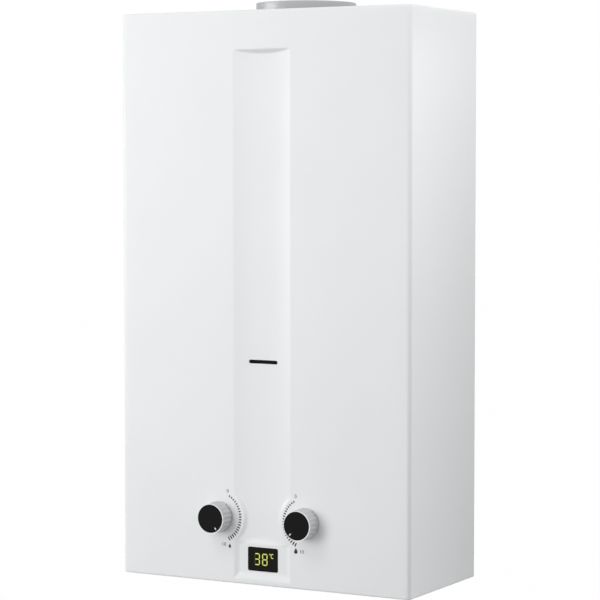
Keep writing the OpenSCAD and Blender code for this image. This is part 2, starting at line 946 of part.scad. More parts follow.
// Draught hood block: narrows to the collar seen from the front, deepens to it seen from the side
module hood_form(inset) {
    half_w = hx_w / 2 - inset;
    half_d = hx_d / 2 - inset;
    top_margin = 8;
    flare_h = 20;
    shoulder_h = 40;
    top_half_w = collar_d / 2 + collar_flange + top_margin - inset;
    top_half_d = hood_half_d - inset;
    flare_z = fin_top + flare_h;
    shoulder_z = hood_top - shoulder_h;
    foot = inset > 0 ? fin_top - over : fin_top;
    top = hood_top - inset;
    intersection() {
        forward(over) linear_extrude(2 * collar_axis + 2 * over) polygon([
            [-half_w, foot], [half_w, foot], [half_w, shoulder_z],
            [top_half_w, top], [-top_half_w, top], [-half_w, shoulder_z],
        ]);
        along_x(-hx_w) linear_extrude(2 * hx_w) polygon([
            [hx_y - half_d, foot], [hx_y + half_d, foot], [hx_y + half_d, flare_z],
            [hx_y + top_half_d, shoulder_z], [hx_y + top_half_d, top], [hx_y - top_half_d, top],
            [hx_y - top_half_d, shoulder_z], [hx_y - half_d, flare_z],
        ]);
    }
}

module draught_hood() {
    mouth_margin = 25;
    mouth_w = hx_w - 2 * mouth_margin;
    mouth_h = 22;
    mouth_z = fin_top + 32;
    color("silver") in_frame() difference() {
        hood_form(0);
        hood_form(shell_t);
        translate([0, hx_y, hood_top - 2 * shell_t]) {
            cylinder(r = collar_d / 2 - collar_wall, h = 3 * shell_t);
        }
        translate([0, hx_y - hx_d / 4, mouth_z]) {
            forward(0) linear_extrude(hx_d) square([mouth_w, mouth_h], center = true);
        }
    }
}

// Snap-disc switch on a wall that faces the front: a round flange and a can
module snap_disc(place, rim_t, can_d) {
    rim_d = 18;
    can_h = 9;
    in_frame() translate(place) rotate([90, 0, 0]) {
        cylinder(d = rim_d, h = rim_t);
        cylinder(d = can_d, h = can_h);
    }
}

module draught_sensor() {
    below_top = 24;
    right = 60;
    color("dimgray") snap_disc([right, hx_y - hood_half_d, hood_top - below_top], 4, 12);
}

// Upright tube with the exchanger's outline
module shell_tube(foot, top) {
    translate([0, hx_y, foot]) linear_extrude(top - foot) difference() {
        round_rect(hx_w, hx_d, shell_r);
        round_rect(hx_w - 2 * shell_t, hx_d - 2 * shell_t, shell_r - shell_t);
    }
}

module exchanger_shell() {
    color("peru") in_frame() difference() {
        shell_tube(frame_top, fin_top);
        for (i = tubes) {
            translate([0, hx_y + i * tube_pitch, tube_z]) rotate([0, 90, 0]) {
                cylinder(d = tube_d + 2 * press_gap, h = 2 * hx_w, center = true);
            }
        }
    }
}

module exchanger_fins() {
    span = hx_w - 2 * shell_r - fin_t;
    pitch = span / (fin_count - 1);
    depth = hx_d - 2 * shell_t - 2 * fit;
    color("peru") in_frame() for (i = [0 : fin_count - 1]) {
        along_x(-span / 2 - fin_t / 2 + i * pitch) linear_extrude(fin_t) difference() {
            translate([hx_y - depth / 2, fin_foot]) square([depth, fin_h]);
            for (k = tubes) {
                translate([hx_y + k * tube_pitch, tube_z]) circle(d = tube_d + 2 * press_gap);
            }
            for (k = [-1.5 : 1 : 1.5]) {
                translate([hx_y + k * tube_pitch, fin_foot]) circle(d = tube_pitch / 2);
            }
        }
    }
}

module return_bend(side, k, d) {
    translate([side * (hx_w / 2 + tube_stub), hx_y + (k + 0.5) * tube_pitch, tube_z]) {
        rotate(side > 0 ? -90 : 90) rotate_extrude(angle = 180) translate([tube_pitch / 2, 0]) circle(d = d);
    }
}

// Five straight runs through the fins, joined in series by four return bends
module serpentine(d) {
    for (k = tubes) {
        translate([0, hx_y + k * tube_pitch, tube_z]) rotate([0, 90, 0]) {
            cylinder(d = d, h = hx_w + 2 * tube_stub, center = true);
        }
    }
    return_bend(-1, -2, d);
    return_bend(1, -1, d);
    return_bend(-1, 0, d);
    return_bend(1, 1, d);
}

module exchanger_tubes() {
    color("peru") in_frame() difference() {
        serpentine(tube_d);
        serpentine(tube_d - 2 * pipe_wall);
    }
}

// Hat-section strips that carry the exchanger and burner on the back plate
module exchanger_brackets() {
    strip_h = 16;
    strip_l = 120;
    t = 1.2;
    deep = -back_t - hx_back;
    strip_z = [frame_foot + 20, frame_top + 10, fin_top - 24];
    color("gray") in_frame() for (z = strip_z) {
        along_x(-strip_l / 2) linear_extrude(strip_l) translate([hx_back, z]) difference() {
            square([deep, strip_h]);
            translate([t, t]) square([deep, strip_h - 2 * t]);
        }
    }
}

module cold_pipe() {
    first_y = hx_y - 2 * tube_pitch;
    color("peru") in_frame() pipe_run([
        [knob_x, valve_y, water_top + boss_h],
        [knob_x, valve_y, cross_z],
        [riser_x, valve_y, cross_z],
        [riser_x, wrap_front, cross_z],
        [riser_x, wrap_front, wrap_z],
        [-wrap_x, wrap_front, wrap_z],
        [-wrap_x, wrap_back, wrap_z],
        [riser_x, wrap_back, wrap_z],
        [riser_x, first_y, wrap_z],
        [riser_x, first_y, tube_z],
        [hx_w / 2 + tube_stub, first_y, tube_z],
    ]);
}

module hot_pipe() {
    last_y = hx_y + 2 * tube_pitch;
    color("peru") in_frame() pipe_run([
        [-hx_w / 2 - tube_stub, last_y, tube_z],
        [-riser_x, last_y, tube_z],
        [-riser_x, last_y, hot_bend_z],
        [-riser_x, hot_y, hot_bend_z],
        [-riser_x, hot_y, hot_top],
    ]);
}

module gas_pipe() {
    color("silver") in_frame() pipe_run([
        [gas_out_x, valve_y, gas_top + boss_h],
        [gas_out_x, valve_y, gas_cross_z],
        [gas_out_x, manifold_y, gas_cross_z],
        [gas_out_x, manifold_y, manifold_z - manifold_d / 2 - inlet_drop],
    ]);
}

module union_nut(place) {
    translate(place) difference() {
        cylinder(d = nut_d, h = nut_h, $fn = 6);
        translate([0, 0, -over]) cylinder(d = pipe_d + 2 * press_gap, h = nut_h + 2 * over);
    }
}

module union_nuts() {
    color("goldenrod") in_frame() {
        union_nut([knob_x, valve_y, water_top + boss_h]);
        union_nut([gas_out_x, valve_y, gas_top + boss_h]);
        union_nut([-riser_x, hot_y, hot_top]);
    }
}

module at_bars() {
    for (i = [0 : bar_count - 1]) {
        translate([(i - (bar_count - 1) / 2) * bar_pitch, 0, 0]) children();
    }
}

module burner_frame() {
    rail_d = 8;
    rail_t = 2;
    sight_margin = 3;
    inner = hx_d / 2 - shell_t;
    inner_w = hx_w / 2 - shell_r;
    color("lightgray") in_frame() difference() {
        union() {
            shell_tube(frame_foot, frame_top);
            for (s = [-1, 1]) {
                edge = hx_y + s * (inner - rail_d / 2 + shell_t / 2);
                rail = [edge - rail_d / 2, edge + rail_d / 2];
                block([-inner_w, inner_w], rail, [bar_foot - rail_t, bar_foot]);
            }
        }
        forward(hx_y) linear_extrude(hx_d) {
            translate([0, sight_z]) slot_shape(sight_w + 2 * sight_margin, sight_h + 2 * sight_margin);
            for (s = [-1, 1]) {
                translate([s * electrode_x, electrode_z]) circle(d = ceramic_d + 2 * press_gap);
            }
        }
        at_bars() translate([0, 0, manifold_z]) forward(hx_y) cylinder(d = injector_d + 2 * fit, h = hx_d);
    }
}

// Burner bar seen from its end: slotted head, narrow waist and mixing tube
module bar_section(inset) {
    wide = bar_w / 2 - inset;
    neck = bar_w / 4 - inset;
    top = bar_top - inset;
    head_z = bar_top - 14;
    neck_top = head_z - 8;
    tube_top = bar_foot + 11;
    neck_foot = tube_top + 5;
    foot = bar_foot + inset;
    polygon([
        [-wide, top], [-wide, head_z], [-neck, neck_top], [-neck, neck_foot],
        [-wide, tube_top], [-wide, foot], [wide, foot], [wide, tube_top],
        [neck, neck_foot], [neck, neck_top], [wide, head_z], [wide, top],
    ]);
}

module burner_bar() {
    end_gap = 2;
    end_land = 4;
    port_edge = 1.5;
    port_t = 1.6;
    port_depth = 4;
    mixing_l = 30;
    length = hx_d - 2 * shell_t - 2 * end_gap;
    front = hx_y - length / 2;
    port_pitch = (length - 2 * end_land) / port_count;
    difference() {
        forward(hx_y + length / 2) linear_extrude(length) bar_section(0);
        forward(hx_y + length / 2 - bar_t) linear_extrude(length - 2 * bar_t) bar_section(bar_t);
        translate([0, 0, manifold_z]) forward(front + mixing_l) cylinder(d = injector_d, h = mixing_l + over);
        for (i = [0 : port_count - 1]) {
            y = front + end_land + (i + 0.5) * port_pitch;
            block([port_edge - bar_w / 2, bar_w / 2 - port_edge], [y - port_t / 2, y + port_t / 2],
                [bar_top - port_depth, bar_top + over]);
        }
    }
}

module burner_bars() {
    color("lightgray") in_frame() at_bars() burner_bar();
}

module gas_manifold() {
    end_t = 3;
    end_d = manifold_d + 2;
    lug = 6;
    bore_in = 3;
    inlet_h = manifold_d / 2 + inlet_drop;
    color("lightgray") in_frame() translate([0, manifold_y, manifold_z]) difference() {
        union() {
            rotate([0, 90, 0]) cylinder(d = manifold_d, h = manifold_l, center = true);
            for (s = [-1, 1]) {
                translate([s * (manifold_l - end_t) / 2, 0, 0]) rotate([0, 90, 0]) {
                    cylinder(d = end_d, h = end_t, center = true);
                }
                x = s * bar_pitch * (bar_count - 2) / 2;
                block([x - lug / 2, x + lug / 2], [0, manifold_gap], [-lug / 2, lug / 2]);
            }
            translate([gas_out_x, 0, -inlet_h]) cylinder(d = manifold_d, h = inlet_h);
        }
        at_bars() translate([0, manifold_d, 0]) rotate([90, 0, 0]) {
            cylinder(d = injector_d + 2 * slide_fit, h = manifold_d - bore_in);
        }
    }
}

module injectors() {
    seat = manifold_y + manifold_d / 2 + slide_fit;
    root = manifold_y + 4;
    tip = hx_front + shell_t + 1;
    hex_d = injector_d + 4;
    hex_end = hx_front - 1;
    color("goldenrod") in_frame() at_bars() translate([0, 0, manifold_z]) {
        forward(tip) cylinder(d = injector_d, h = tip - root);
        forward(hex_end) cylinder(d = hex_d, h = hex_end - seat, $fn = 6);
    }
}

// Ceramic rod through the burner frame, with its collar outside and its wire over the bars
module electrode(x, wire_l) {
    rim_d = 10;
    rim_t = 3;
    wire_d = 1.6;
    terminal_d = 2.4;
    in_frame() translate([x, 0, electrode_z]) {
        forward(ceramic_in) cylinder(d = ceramic_d, h = ceramic_l);
        forward(hx_front) cylinder(d = rim_d, h = rim_t);
        forward(ceramic_in + wire_l) cylinder(d = wire_d, h = wire_l);
        forward(ceramic_front) cylinder(d = terminal_d, h = terminal_l);
    }
}

module ignition_electrode() {
    color("ivory") electrode(electrode_x, 9);
}

module flame_sensor() {
    color("ivory") electrode(-electrode_x, 16);
}

// Body of a valve seen from the front, with round corners
module valve_block(x, z) {
    translate([(x[0] + x[1]) / 2, 0, (z[0] + z[1]) / 2]) forward(valve_back) linear_extrude(valve_d) {
        round_rect(x[1] - x[0], z[1] - z[0], valve_r);
    }
}

module spindle_bore() {
    depth = spindle_in + 3;
    forward(valve_front + depth) cylinder(d = spindle_d + 2 * fit, h = depth + over);
}

// Bosses of a valve: the inlet below and the outlet above
module valve_bosses(in_x, foot, out_x, top) {
    inlet_d = boss_d + 4;
    translate([out_x, valve_y, top - boss_root]) cylinder(d = boss_d, h = boss_h + boss_root);
    translate([in_x, valve_y, foot - boss_h]) cylinder(d = inlet_d, h = boss_h + boss_root);
}

module gas_valve_body() {
    rod_room = 5;
    rod_bore = rod_in + rod_travel + rod_room;
    color("lightgray") in_frame() difference() {
        union() {
            valve_block([gas_left, gas_right], [gas_foot, gas_top]);
            valve_bosses(gas_in_x, gas_foot, gas_out_x, gas_top);
        }
        translate([-knob_x, 0, knob_z]) spindle_bore();
        flange_plate(gas_right - rod_bore, rod_d + 2 * fit, rod_bore + over);
    }
}

module gas_solenoid() {
    coil_d = 28;
    coil_l = 24;
    ring_d = coil_d + 3;
    ring_t = 2;
    middle_z = (gas_foot + gas_top) / 2;
    color("black") in_frame() translate([gas_left, valve_y, middle_z]) rotate([0, -90, 0]) {
        cylinder(d = coil_d, h = coil_l);
        translate([0, 0, ring_t]) cylinder(d = ring_d, h = ring_t);
        translate([0, 0, coil_l - 2 * ring_t]) cylinder(d = ring_d, h = ring_t);
    }
}

module flange_bolts() {
    translate([0, valve_y, knob_z]) rotate([0, 90, 0]) ring_of(6, bolt_circle, 30) children();
}

// Round plate across the push rod's axis, from x on
module flange_plate(x, d, t) {
    translate([x, valve_y, knob_z]) rotate([0, 90, 0]) cylinder(d = d, h = t);
}

module flange_holes() {
    translate([cover_x - over, 0, 0]) flange_bolts() cylinder(d = bolt_d + 2 * press_gap, h = 4 * flange_t);
}

module water_valve_body() {
    flange_root = 4;
    bolt_stop = 1;
    color("goldenrod") in_frame() difference() {
        union() {
            valve_block([water_left - flange_root, water_right], [water_foot, water_top]);
            flange_plate(flange_x, flange_d, flange_t);
            valve_bosses(knob_x, water_foot, knob_x, water_top);
        }
        translate([knob_x, 0, knob_z]) spindle_bore();
        translate([flange_x - over, 0, 0]) flange_bolts() {
            cylinder(d = bolt_d + 2 * press_gap, h = flange_t + over - bolt_stop);
        }
    }
}

module diaphragm() {
    color("dimgray") in_frame() difference() {
        flange_plate(diaphragm_x, flange_d, diaphragm_t);
        flange_holes();
    }
}

module diaphragm_cover() {
    color("goldenrod") in_frame() difference() {
        union() {
            flange_plate(cover_x, flange_d, flange_t);
            flange_plate(cover_x - hub_l, hub_d, hub_l + over);
        }
        flange_plate(cavity_x, cavity_d, diaphragm_x - cavity_x + over);
        flange_plate(cover_x - hub_l - over, rod_d + 2 * slide_fit, hub_l + flange_t);
        flange_holes();
    }
}

module valve_screws() {
    head_d = bolt_d + 3;
    head_h = 3;
    end_gap = 2;
    color("silver") in_frame() translate([cover_x - head_h, 0, 0]) flange_bolts() {
        cylinder(d = head_d, h = head_h);
        cylinder(d = bolt_d, h = head_h + flange_t + diaphragm_t + flange_t - end_gap);
    }
}

module push_rod() {
    color("silver") in_frame() {
        flange_plate(disc_x, disc_d, disc_t);
        flange_plate(rod_end, rod_d, disc_x - rod_end + disc_t);
        flange_plate(rod_collar_x, rod_collar_d, rod_collar_t);
    }
}

// Channel of sheet steel on the gas valve, with the lever's pivot pin across it
module switch_bracket() {
    base_l = 22;
    arm_h = 8;
    pivot_wall = 4;
    wide = switch_w + 2 * cheek_t;
    left = gas_right - base_l;
    right = pivot_x + pivot_wall;
    top = pivot_z + pivot_wall;
    color("silver") in_frame() {
        difference() {
            block([left, right], [valve_y - wide / 2, valve_y + wide / 2], [gas_top, top]);
            block([left - over, right + over], switch_ys, [switch_foot, top + over]);
            block([gas_right, right + over], [valve_y - wide, valve_y + wide],
                [gas_top - over, switch_foot + arm_h]);
        }
        translate([pivot_x, valve_y + wide / 2, pivot_z]) rotate([90, 0, 0]) cylinder(d = pivot_d, h = wide);
    }
}

module microswitch() {
    button_d = 3;
    button_drop = 9;
    switch_l = 22;
    front = gas_right + 2;
    lean = (button_drop + button_d / 2) * rod_travel / lever_arm;
    color("black") in_frame() {
        block([front - switch_l, front], switch_ys, [switch_foot, switch_top]);
        translate([front, valve_y, pivot_z - button_drop]) rotate([0, 90, 0]) {
            cylinder(d = button_d, h = blade_x - lean - fit - front);
        }
    }
}

module switch_lever() {
    back = valve_y + blade_w / 2;
    tip_gap = 0.8;
    tip_z = knob_z + rod_d / 2 + tip_gap;
    eye_d = pivot_d + 3;
    color("silver") in_frame() difference() {
        union() {
            block([blade_x, blade_x + blade_t], [back - blade_w, back], [tip_z, pivot_z]);
            translate([pivot_x, back, pivot_z]) rotate([90, 0, 0]) cylinder(d = eye_d, h = blade_w);
        }
        translate([pivot_x, valve_y + blade_w, pivot_z]) rotate([90, 0, 0]) {
            cylinder(d = pivot_d + 2 * slide_fit, h = 2 * blade_w);
        }
    }
}

// Hat-section brackets that carry the valves on the back plate
module valve_brackets() {
    t = 1.5;
    deep = -back_t - valve_back;
    wide = 30;
    high = 24;
    color("gray") in_frame() for (x = [-knob_x, knob_x]) {
        translate([x - wide / 2, valve_back, knob_z - high / 2]) linear_extrude(high) difference() {
            square([wide, deep]);
            translate([t, t]) square([wide - 2 * t, deep]);
        }
    }
}

module drain_plug() {
    rise = 14;
    hex_d = 12;
    hex_h = 5;
    stem_d = 8;
    stem_l = 10;
    color("goldenrod") in_frame() translate([water_right, valve_y, water_foot + rise]) rotate([0, 90, 0]) {
        cylinder(d = hex_d, h = hex_h, $fn = 6);
        cylinder(d = stem_d, h = stem_l);
    }
}

// Threaded stub below the casing, with a hexagon above the bottom plate
module nipple(place, hex_z, top) {
    hex_h = 9;
    neck_d = thread_d - 2;
    bore_end = 3;
    in_frame() translate(place) difference() {
        union() {
            translate([0, 0, -stub_l]) cylinder(d = thread_d, h = stub_l);
            cylinder(d = neck_d, h = top);
            translate([0, 0, hex_z]) cylinder(d = stub_hex_d, h = hex_h, $fn = 6);
        }
        translate([0, 0, -stub_l - over]) cylinder(d = stub_bore, h = stub_l + over + top - bore_end);
    }
}

module gas_nipple() {
    color("goldenrod") nipple([gas_in_x, valve_y, 0], stub_hex_z, gas_foot - boss_h);
}

module cold_nipple() {
    color("goldenrod") nipple([knob_x, valve_y, 0], stub_hex_z, water_foot - boss_h);
}

module hot_nipple() {
    color("goldenrod") {
        nipple([-riser_x, hot_y, 0], plate_top + hot_flange_t + stub_room, hot_top);
        in_frame() translate([-riser_x, hot_y, plate_top]) difference() {
            cylinder(d = stub_hex_d + 2 * stub_room, h = hot_flange_t);
            translate([0, 0, -over]) cylinder(d = stub_bore, h = hot_flange_t + 2 * over);
        }
    }
}

// Sensor pocket clamped round the hot pipe
module temperature_sensor() {
    above_nut = 6;
    clamp_d = pipe_d + 5;
    clamp_h = 10;
    pocket_d = 9;
    pocket_h = 14;
    web = 4;
    color("gainsboro") in_frame() translate([-riser_x, hot_y, hot_top + nut_h + above_nut]) difference() {
        union() {
            cylinder(d = clamp_d, h = clamp_h);
            translate([0, -pipe_d, 0]) cylinder(d = pocket_d, h = pocket_h);
            block([-web / 2, web / 2], [-pipe_d, 0], [0, clamp_h]);
        }
        translate([0, 0, -over]) cylinder(d = pipe_d + 2 * press_gap, h = pocket_h + 2 * over);
    }
}

module overheat_cutout() {
    below_fins = 40;
    left = 60;
    color("dimgray") snap_disc([-left, hx_front, fin_foot - below_fins], 3, 13);
}

module control_outline(inset) {
    translate([control_x + control_w / 2, control_z + control_h / 2]) {
        round_rect(control_w - 2 * inset, control_h - 2 * inset, control_r);
    }
}

module control_box() {
    color("dimgray") in_frame() difference() {
        forward(-back_t) linear_extrude(control_d) control_outline(0);
        forward(-back_t - control_wall) linear_extrude(control_d) control_outline(control_wall);
    }
}

module control_box_lid() {
    color("dimgray") in_frame() forward(-back_t - control_d) linear_extrude(control_wall) control_outline(0);
}

module battery_box() {
    inner_x = box_x + box_wall;
    inner_y = box_y + box_wall;
    right = box_x + box_w;
    flange = 4;
    color("white") in_frame() difference() {
        union() {
            block([box_x, right], [box_y, box_back], [plate_top, box_top]);
            block([right, right + flange], [box_y, box_back], [plate_top, plate_top + box_wall]);
            for (x = [box_x, right - ear_w]) {
                block([x, x + ear_w], [box_back - box_wall, hinge_y], [plate_top, plate_top + ear_h]);
                translate([x, hinge_y, hinge_z]) rotate([0, 90, 0]) cylinder(d = knuckle_d, h = ear_w);
                ear_y = [hinge_y - knuckle_d / 2, hinge_y + knuckle_d / 2];
                block([x, x + ear_w], ear_y, [hinge_z, plate_top + ear_h]);
            }
        }
        block([inner_x, inner_x + bay_w], [inner_y, inner_y + bay_d], [plate_top - over, box_top - box_wall]);
        translate([box_x - over, hinge_y, hinge_z]) rotate([0, 90, 0]) {
            cylinder(d = hinge_d + 2 * slide_fit, h = box_w + 2 * over);
        }
    }
}

// Three grooves for a fingertip near the free edge of the battery lid
module lid_grip() {
    groove_l = 26;
    groove_w = 1.6;
    groove_d = 0.7;
    edge = 5;
    pitch = 3.5;
    for (i = [0 : 2]) {
        translate([box_x + box_w / 2, box_y + edge + i * pitch, -over]) {
            linear_extrude(groove_d + over) slot_shape(groove_l, groove_w);
        }
    }
}

module battery_lid() {
    left = box_x + ear_w + fit;
    right = box_x + box_w - ear_w - fit;
    color("white") in_frame() difference() {
        union() {
            block([box_x, box_x + box_w], [box_y, box_back - fit], [0, lid_t]);
            block([left, right], [box_back - over, hinge_y], [0, lid_t]);
            translate([left, hinge_y, hinge_z]) rotate([0, 90, 0]) cylinder(d = knuckle_d, h = right - left);
        }
        lid_grip();
        translate([left - over, hinge_y, hinge_z]) rotate([0, 90, 0]) {
            cylinder(d = hinge_d + 2 * slide_fit, h = right - left + 2 * over);
        }
    }
}

module hinge_pin() {
    color("silver") in_frame() translate([box_x, hinge_y, hinge_z]) rotate([0, 90, 0]) {
        cylinder(d = hinge_d, h = box_w);
    }
}

module at_cells() {
    for (s = [-1, 1]) {
        translate([box_x + box_w / 2 + s * (cell_d + fit) / 2, box_y + box_d / 2, cell_z]) children();
    }
}

module batteries() {
    button_d = 9.5;
    button_h = 2;
    color("steelblue") in_frame() at_cells() {
        cylinder(d = cell_d, h = cell_l - button_h);
        cylinder(d = button_d, h = cell_l);
    }
}

module battery_contacts() {
    size = 14;
    contact_t = 0.6;
    color("silver") in_frame() at_cells() {
        top = box_top - box_wall - cell_z;
        block([-size / 2, size / 2], [-size / 2, size / 2], [top - contact_t, top]);
    }
}

module ignition_lead() {
    color("darkred") in_frame() cable(ignition_route, lead_d);
}

module sensor_lead() {
    color("dimgray") in_frame() cable(sensor_route, lead_d);
}

module wiring() {
    color("dimgray") in_frame() {
        cable(display_route, wire_d);
        cable(battery_route, wire_d);
        cable(switch_route, wire_d);
    }
}

front_cover();
back_plate();
bottom_plate();
cover_screws();
viewing_window();
display_lens();
display_housing();
display_board();
gas_knob();
gas_knob_cap();
gas_spindle();
water_knob();
water_knob_cap();
water_spindle();
spindle_glands();
flue_collar();
draught_hood();
draught_sensor();
exchanger_shell();
exchanger_fins();
exchanger_tubes();
exchanger_brackets();
cold_pipe();
hot_pipe();
gas_pipe();
union_nuts();
burner_frame();
burner_bars();
gas_manifold();
injectors();
ignition_electrode();
flame_sensor();
gas_valve_body();
gas_solenoid();
water_valve_body();
diaphragm();
diaphragm_cover();
valve_screws();
push_rod();
switch_bracket();
microswitch();
switch_lever();
valve_brackets();
drain_plug();
gas_nipple();
cold_nipple();
hot_nipple();
temperature_sensor();
overheat_cutout();
control_box();
control_box_lid();
battery_box();
battery_lid();
hinge_pin();
batteries();
battery_contacts();
ignition_lead();
sensor_lead();
wiring();
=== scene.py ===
"""Looks of a wall-hung gas water heater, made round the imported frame.

Shapes are worked out in millimetres with z from the foot of the casing, as in the part's source, and
set_in_frame() turns them into metres in the frame. +X is the viewer's right and the front faces -Y.
"""
import json
import math

import bmesh
import bpy
import numpy as np
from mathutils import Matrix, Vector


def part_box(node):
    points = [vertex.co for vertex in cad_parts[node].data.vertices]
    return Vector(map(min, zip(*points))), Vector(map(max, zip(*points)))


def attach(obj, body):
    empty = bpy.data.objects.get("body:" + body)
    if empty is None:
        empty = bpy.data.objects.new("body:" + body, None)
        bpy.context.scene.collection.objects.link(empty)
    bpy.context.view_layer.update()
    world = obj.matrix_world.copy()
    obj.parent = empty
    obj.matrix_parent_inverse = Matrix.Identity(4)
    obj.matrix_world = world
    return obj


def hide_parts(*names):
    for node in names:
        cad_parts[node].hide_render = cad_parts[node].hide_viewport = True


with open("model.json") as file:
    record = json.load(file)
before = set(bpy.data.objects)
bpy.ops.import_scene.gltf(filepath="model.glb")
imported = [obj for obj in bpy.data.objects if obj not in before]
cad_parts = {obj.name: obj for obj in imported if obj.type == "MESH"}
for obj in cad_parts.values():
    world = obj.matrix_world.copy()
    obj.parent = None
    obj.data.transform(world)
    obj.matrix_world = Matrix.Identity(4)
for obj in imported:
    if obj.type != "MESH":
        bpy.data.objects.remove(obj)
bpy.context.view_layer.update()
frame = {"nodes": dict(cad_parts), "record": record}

MM = 0.001
FOOT_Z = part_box("front_cover")[0].z
CREASE_DEG = 35.0
WELD_MM = 0.002
FRONT_AXIS = (0, -1, 0)
UP_AXIS = (0, 0, 1)


def box_mm(node):
    """Lowest and highest corner of a CAD node in millimetres, with z from the casing's foot."""
    foot = np.array([0.0, 0.0, FOOT_Z])
    return [(np.array(corner) - foot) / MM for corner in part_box(node)]


def set_in_frame(points):
    """Millimetres from the casing's foot, turned into metres in the frame."""
    return np.asarray(points) * MM + np.array([0.0, 0.0, FOOT_Z])


# Casing, taken from the frame
cover_low, cover_high = box_mm("front_cover")
HALF_W = cover_high[0]
CASE_H = cover_high[2]
FRONT_Y = cover_low[1]

# Sheet of the casing, the radii of its bends, and the lip under its foot
SHEET = 1.0
EDGE_R = 5.0
TOP_R = 3.0
FOOT_BEND = 1.6
LIP_W = 14.0
LIP_MID = 8.0
LIP_CORNERS = (2.0, 2.5)

# Channel pressed down the middle of the front
CHANNEL_W = 69.0
CHANNEL_DEPTH = 4.0
CHANNEL_DROP = 41.5
CHANNEL_TOP = CASE_H - CHANNEL_DROP
CHANNEL_R = ((CHANNEL_W / 2) ** 2 + CHANNEL_DEPTH ** 2) / (2 * CHANNEL_DEPTH)
LEDGE_H = 4.5

# Display recess below the channel, the step between them, and the round pads of the knobs
RECESS_W = 68.0
RECESS_DEPTH = 2.2
RECESS_FOOT = 6.0
RECESS_SLOPE = 6.0
RECESS_TOP = 44.5
RECESS_SIDE = 5.0
ROOF_SLOPE = 2.0
STEP_H = 5.2
PAD_R = 30.5

# How softly the pressed forms run into each other
SOFT_PRESS = 1.2
SOFT_CHANNEL = 0.3

# Holes in the front, and how far the punch that makes them reaches to both sides of it
SIGHT_W = 35.0
SIGHT_H = 4.0
SIGHT_Z = 238.5
KNOB_HOLE_R = 8.0
HOLE_POINTS = 48
PUNCH_REACH = 12.0

# Points of the cover. A stop is a place and the spacing up to the next stop: fine where the sheet is pressed,
# finest at the channel's sides and head. The rows of the top lie at shares of the way to the flue notch.
ACROSS_STOPS = ((-170, 10), (-90, 1.4), (-38, 0.5), (-30, 1.4), (30, 0.5), (38, 1.4), (90, 10), (170, 0))
UP_STOPS = ((FOOT_BEND, 1.4), (112, 12), (556, 0.8), (574, 8), (CASE_H - TOP_R, 0))
SIDE_POINTS = 6
CORNER_POINTS = 9
BEND_POINTS = 6
TOP_SHARES = (0.02, 0.1, 0.35, 0.7, 0.95, 1.0)

# Knobs, taken from the frame: place of each axis, foot radius and length
knob_low, knob_high = box_mm("water_knob")
KNOB_X = (knob_low[0] + knob_high[0]) / 2
KNOB_Z = (knob_low[2] + knob_high[2]) / 2
KNOB_Y = knob_high[1]
KNOB_R = (knob_high[0] - knob_low[0]) / 2
KNOB_LEN = knob_high[1] - knob_low[1]
KNOB_SIDES = {"gas": -1, "water": 1}

# Skirt of a knob: its wall, front and hub
FRONT_R = 16.0
KNOB_WALL = 2.2
KNOB_BEVEL = 0.35
KNOB_ROOF = 2.4
HUB_R = 5.6
HUB_FOOT = 2.0
SPINDLE_R = 3.05
WALL_RINGS = 18
FOOT_CHAMFER = 0.3
FOOT_CHAMFER_H = 0.4

# Flutes of the skirt, and how far in front of their ends the wall has its first ring
FLUTES = 20
FLUTE_POINTS = 14
FLUTE_R = 2.2
FLUTE_DEPTH = 0.8
FLUTE_SOFT = 0.25
FLUTE_END = 3.5
FLUTE_RUNOUT = 1.6
FLUTE_LEAD = 0.6

# Cap sunk in the front of a knob, and the pointer printed on it. The round of its rim starts at an angle, in
# radians from the front.
CAP_R = 15.1
CAP_T = 1.3
CAP_SINK = 0.2
CAP_GAP = 0.05
CAP_CROWN = 0.12
CAP_CROWN_RINGS = 10
CAP_RIM_R = 0.3
CAP_RIM_START = 0.3
CAP_RIM_RINGS = 5
SEAT_CHAMFER = 0.1
SEAT_H = KNOB_LEN - CAP_T - CAP_SINK
POINTER_L = 2.9
POINTER_W = 1.3
POINTER_R = 12.2
POINTER_SINK = 0.3
POINTER_ANGLE = {"gas": -58.0, "water": -129.0}

# Print on the panel: how proud it stands and how deep it is set, the scales, and the places of the signs and
# end numbers from a knob's axis
INK_T = 0.08
INK_SINK = 0.2
TICKS = 20
TICK_R = 26.0
TICK_L = (2.5, 4.8)
TICK_W = 1.35
TICK_GROWTH = 1.5
SCALE_ENDS = {"gas": (61.0, -62.0), "water": (121.7, 243.5)}
NUMERAL_SIZE = 5.4
SIGN_PLACES = {"gas": ((13.0, -30.5), (3.1, 4.6)), "water": ((-11.3, -29.7), (4.6, 6.2))}
NUMERAL_PLACES = {"gas": ((10.5, 28.0), (5.6, -29.5)), "water": ((-11.5, 28.0), (-4.4, -30.4))}

# Display window, its place taken from the frame
lens_low, lens_high = box_mm("display_lens")
LENS_Z = (lens_low[2] + lens_high[2]) / 2
LENS_FRONT = lens_low[1]
LENS_BACK = lens_high[1]
WINDOW_W = 36.8
WINDOW_H = 25.8
WINDOW_R = 2.0
WINDOW_GAP = 0.2
WINDOW_FLANGE = 2.4
WINDOW_BEVEL = 0.3
WINDOW_CREASE_DEG = 20.0

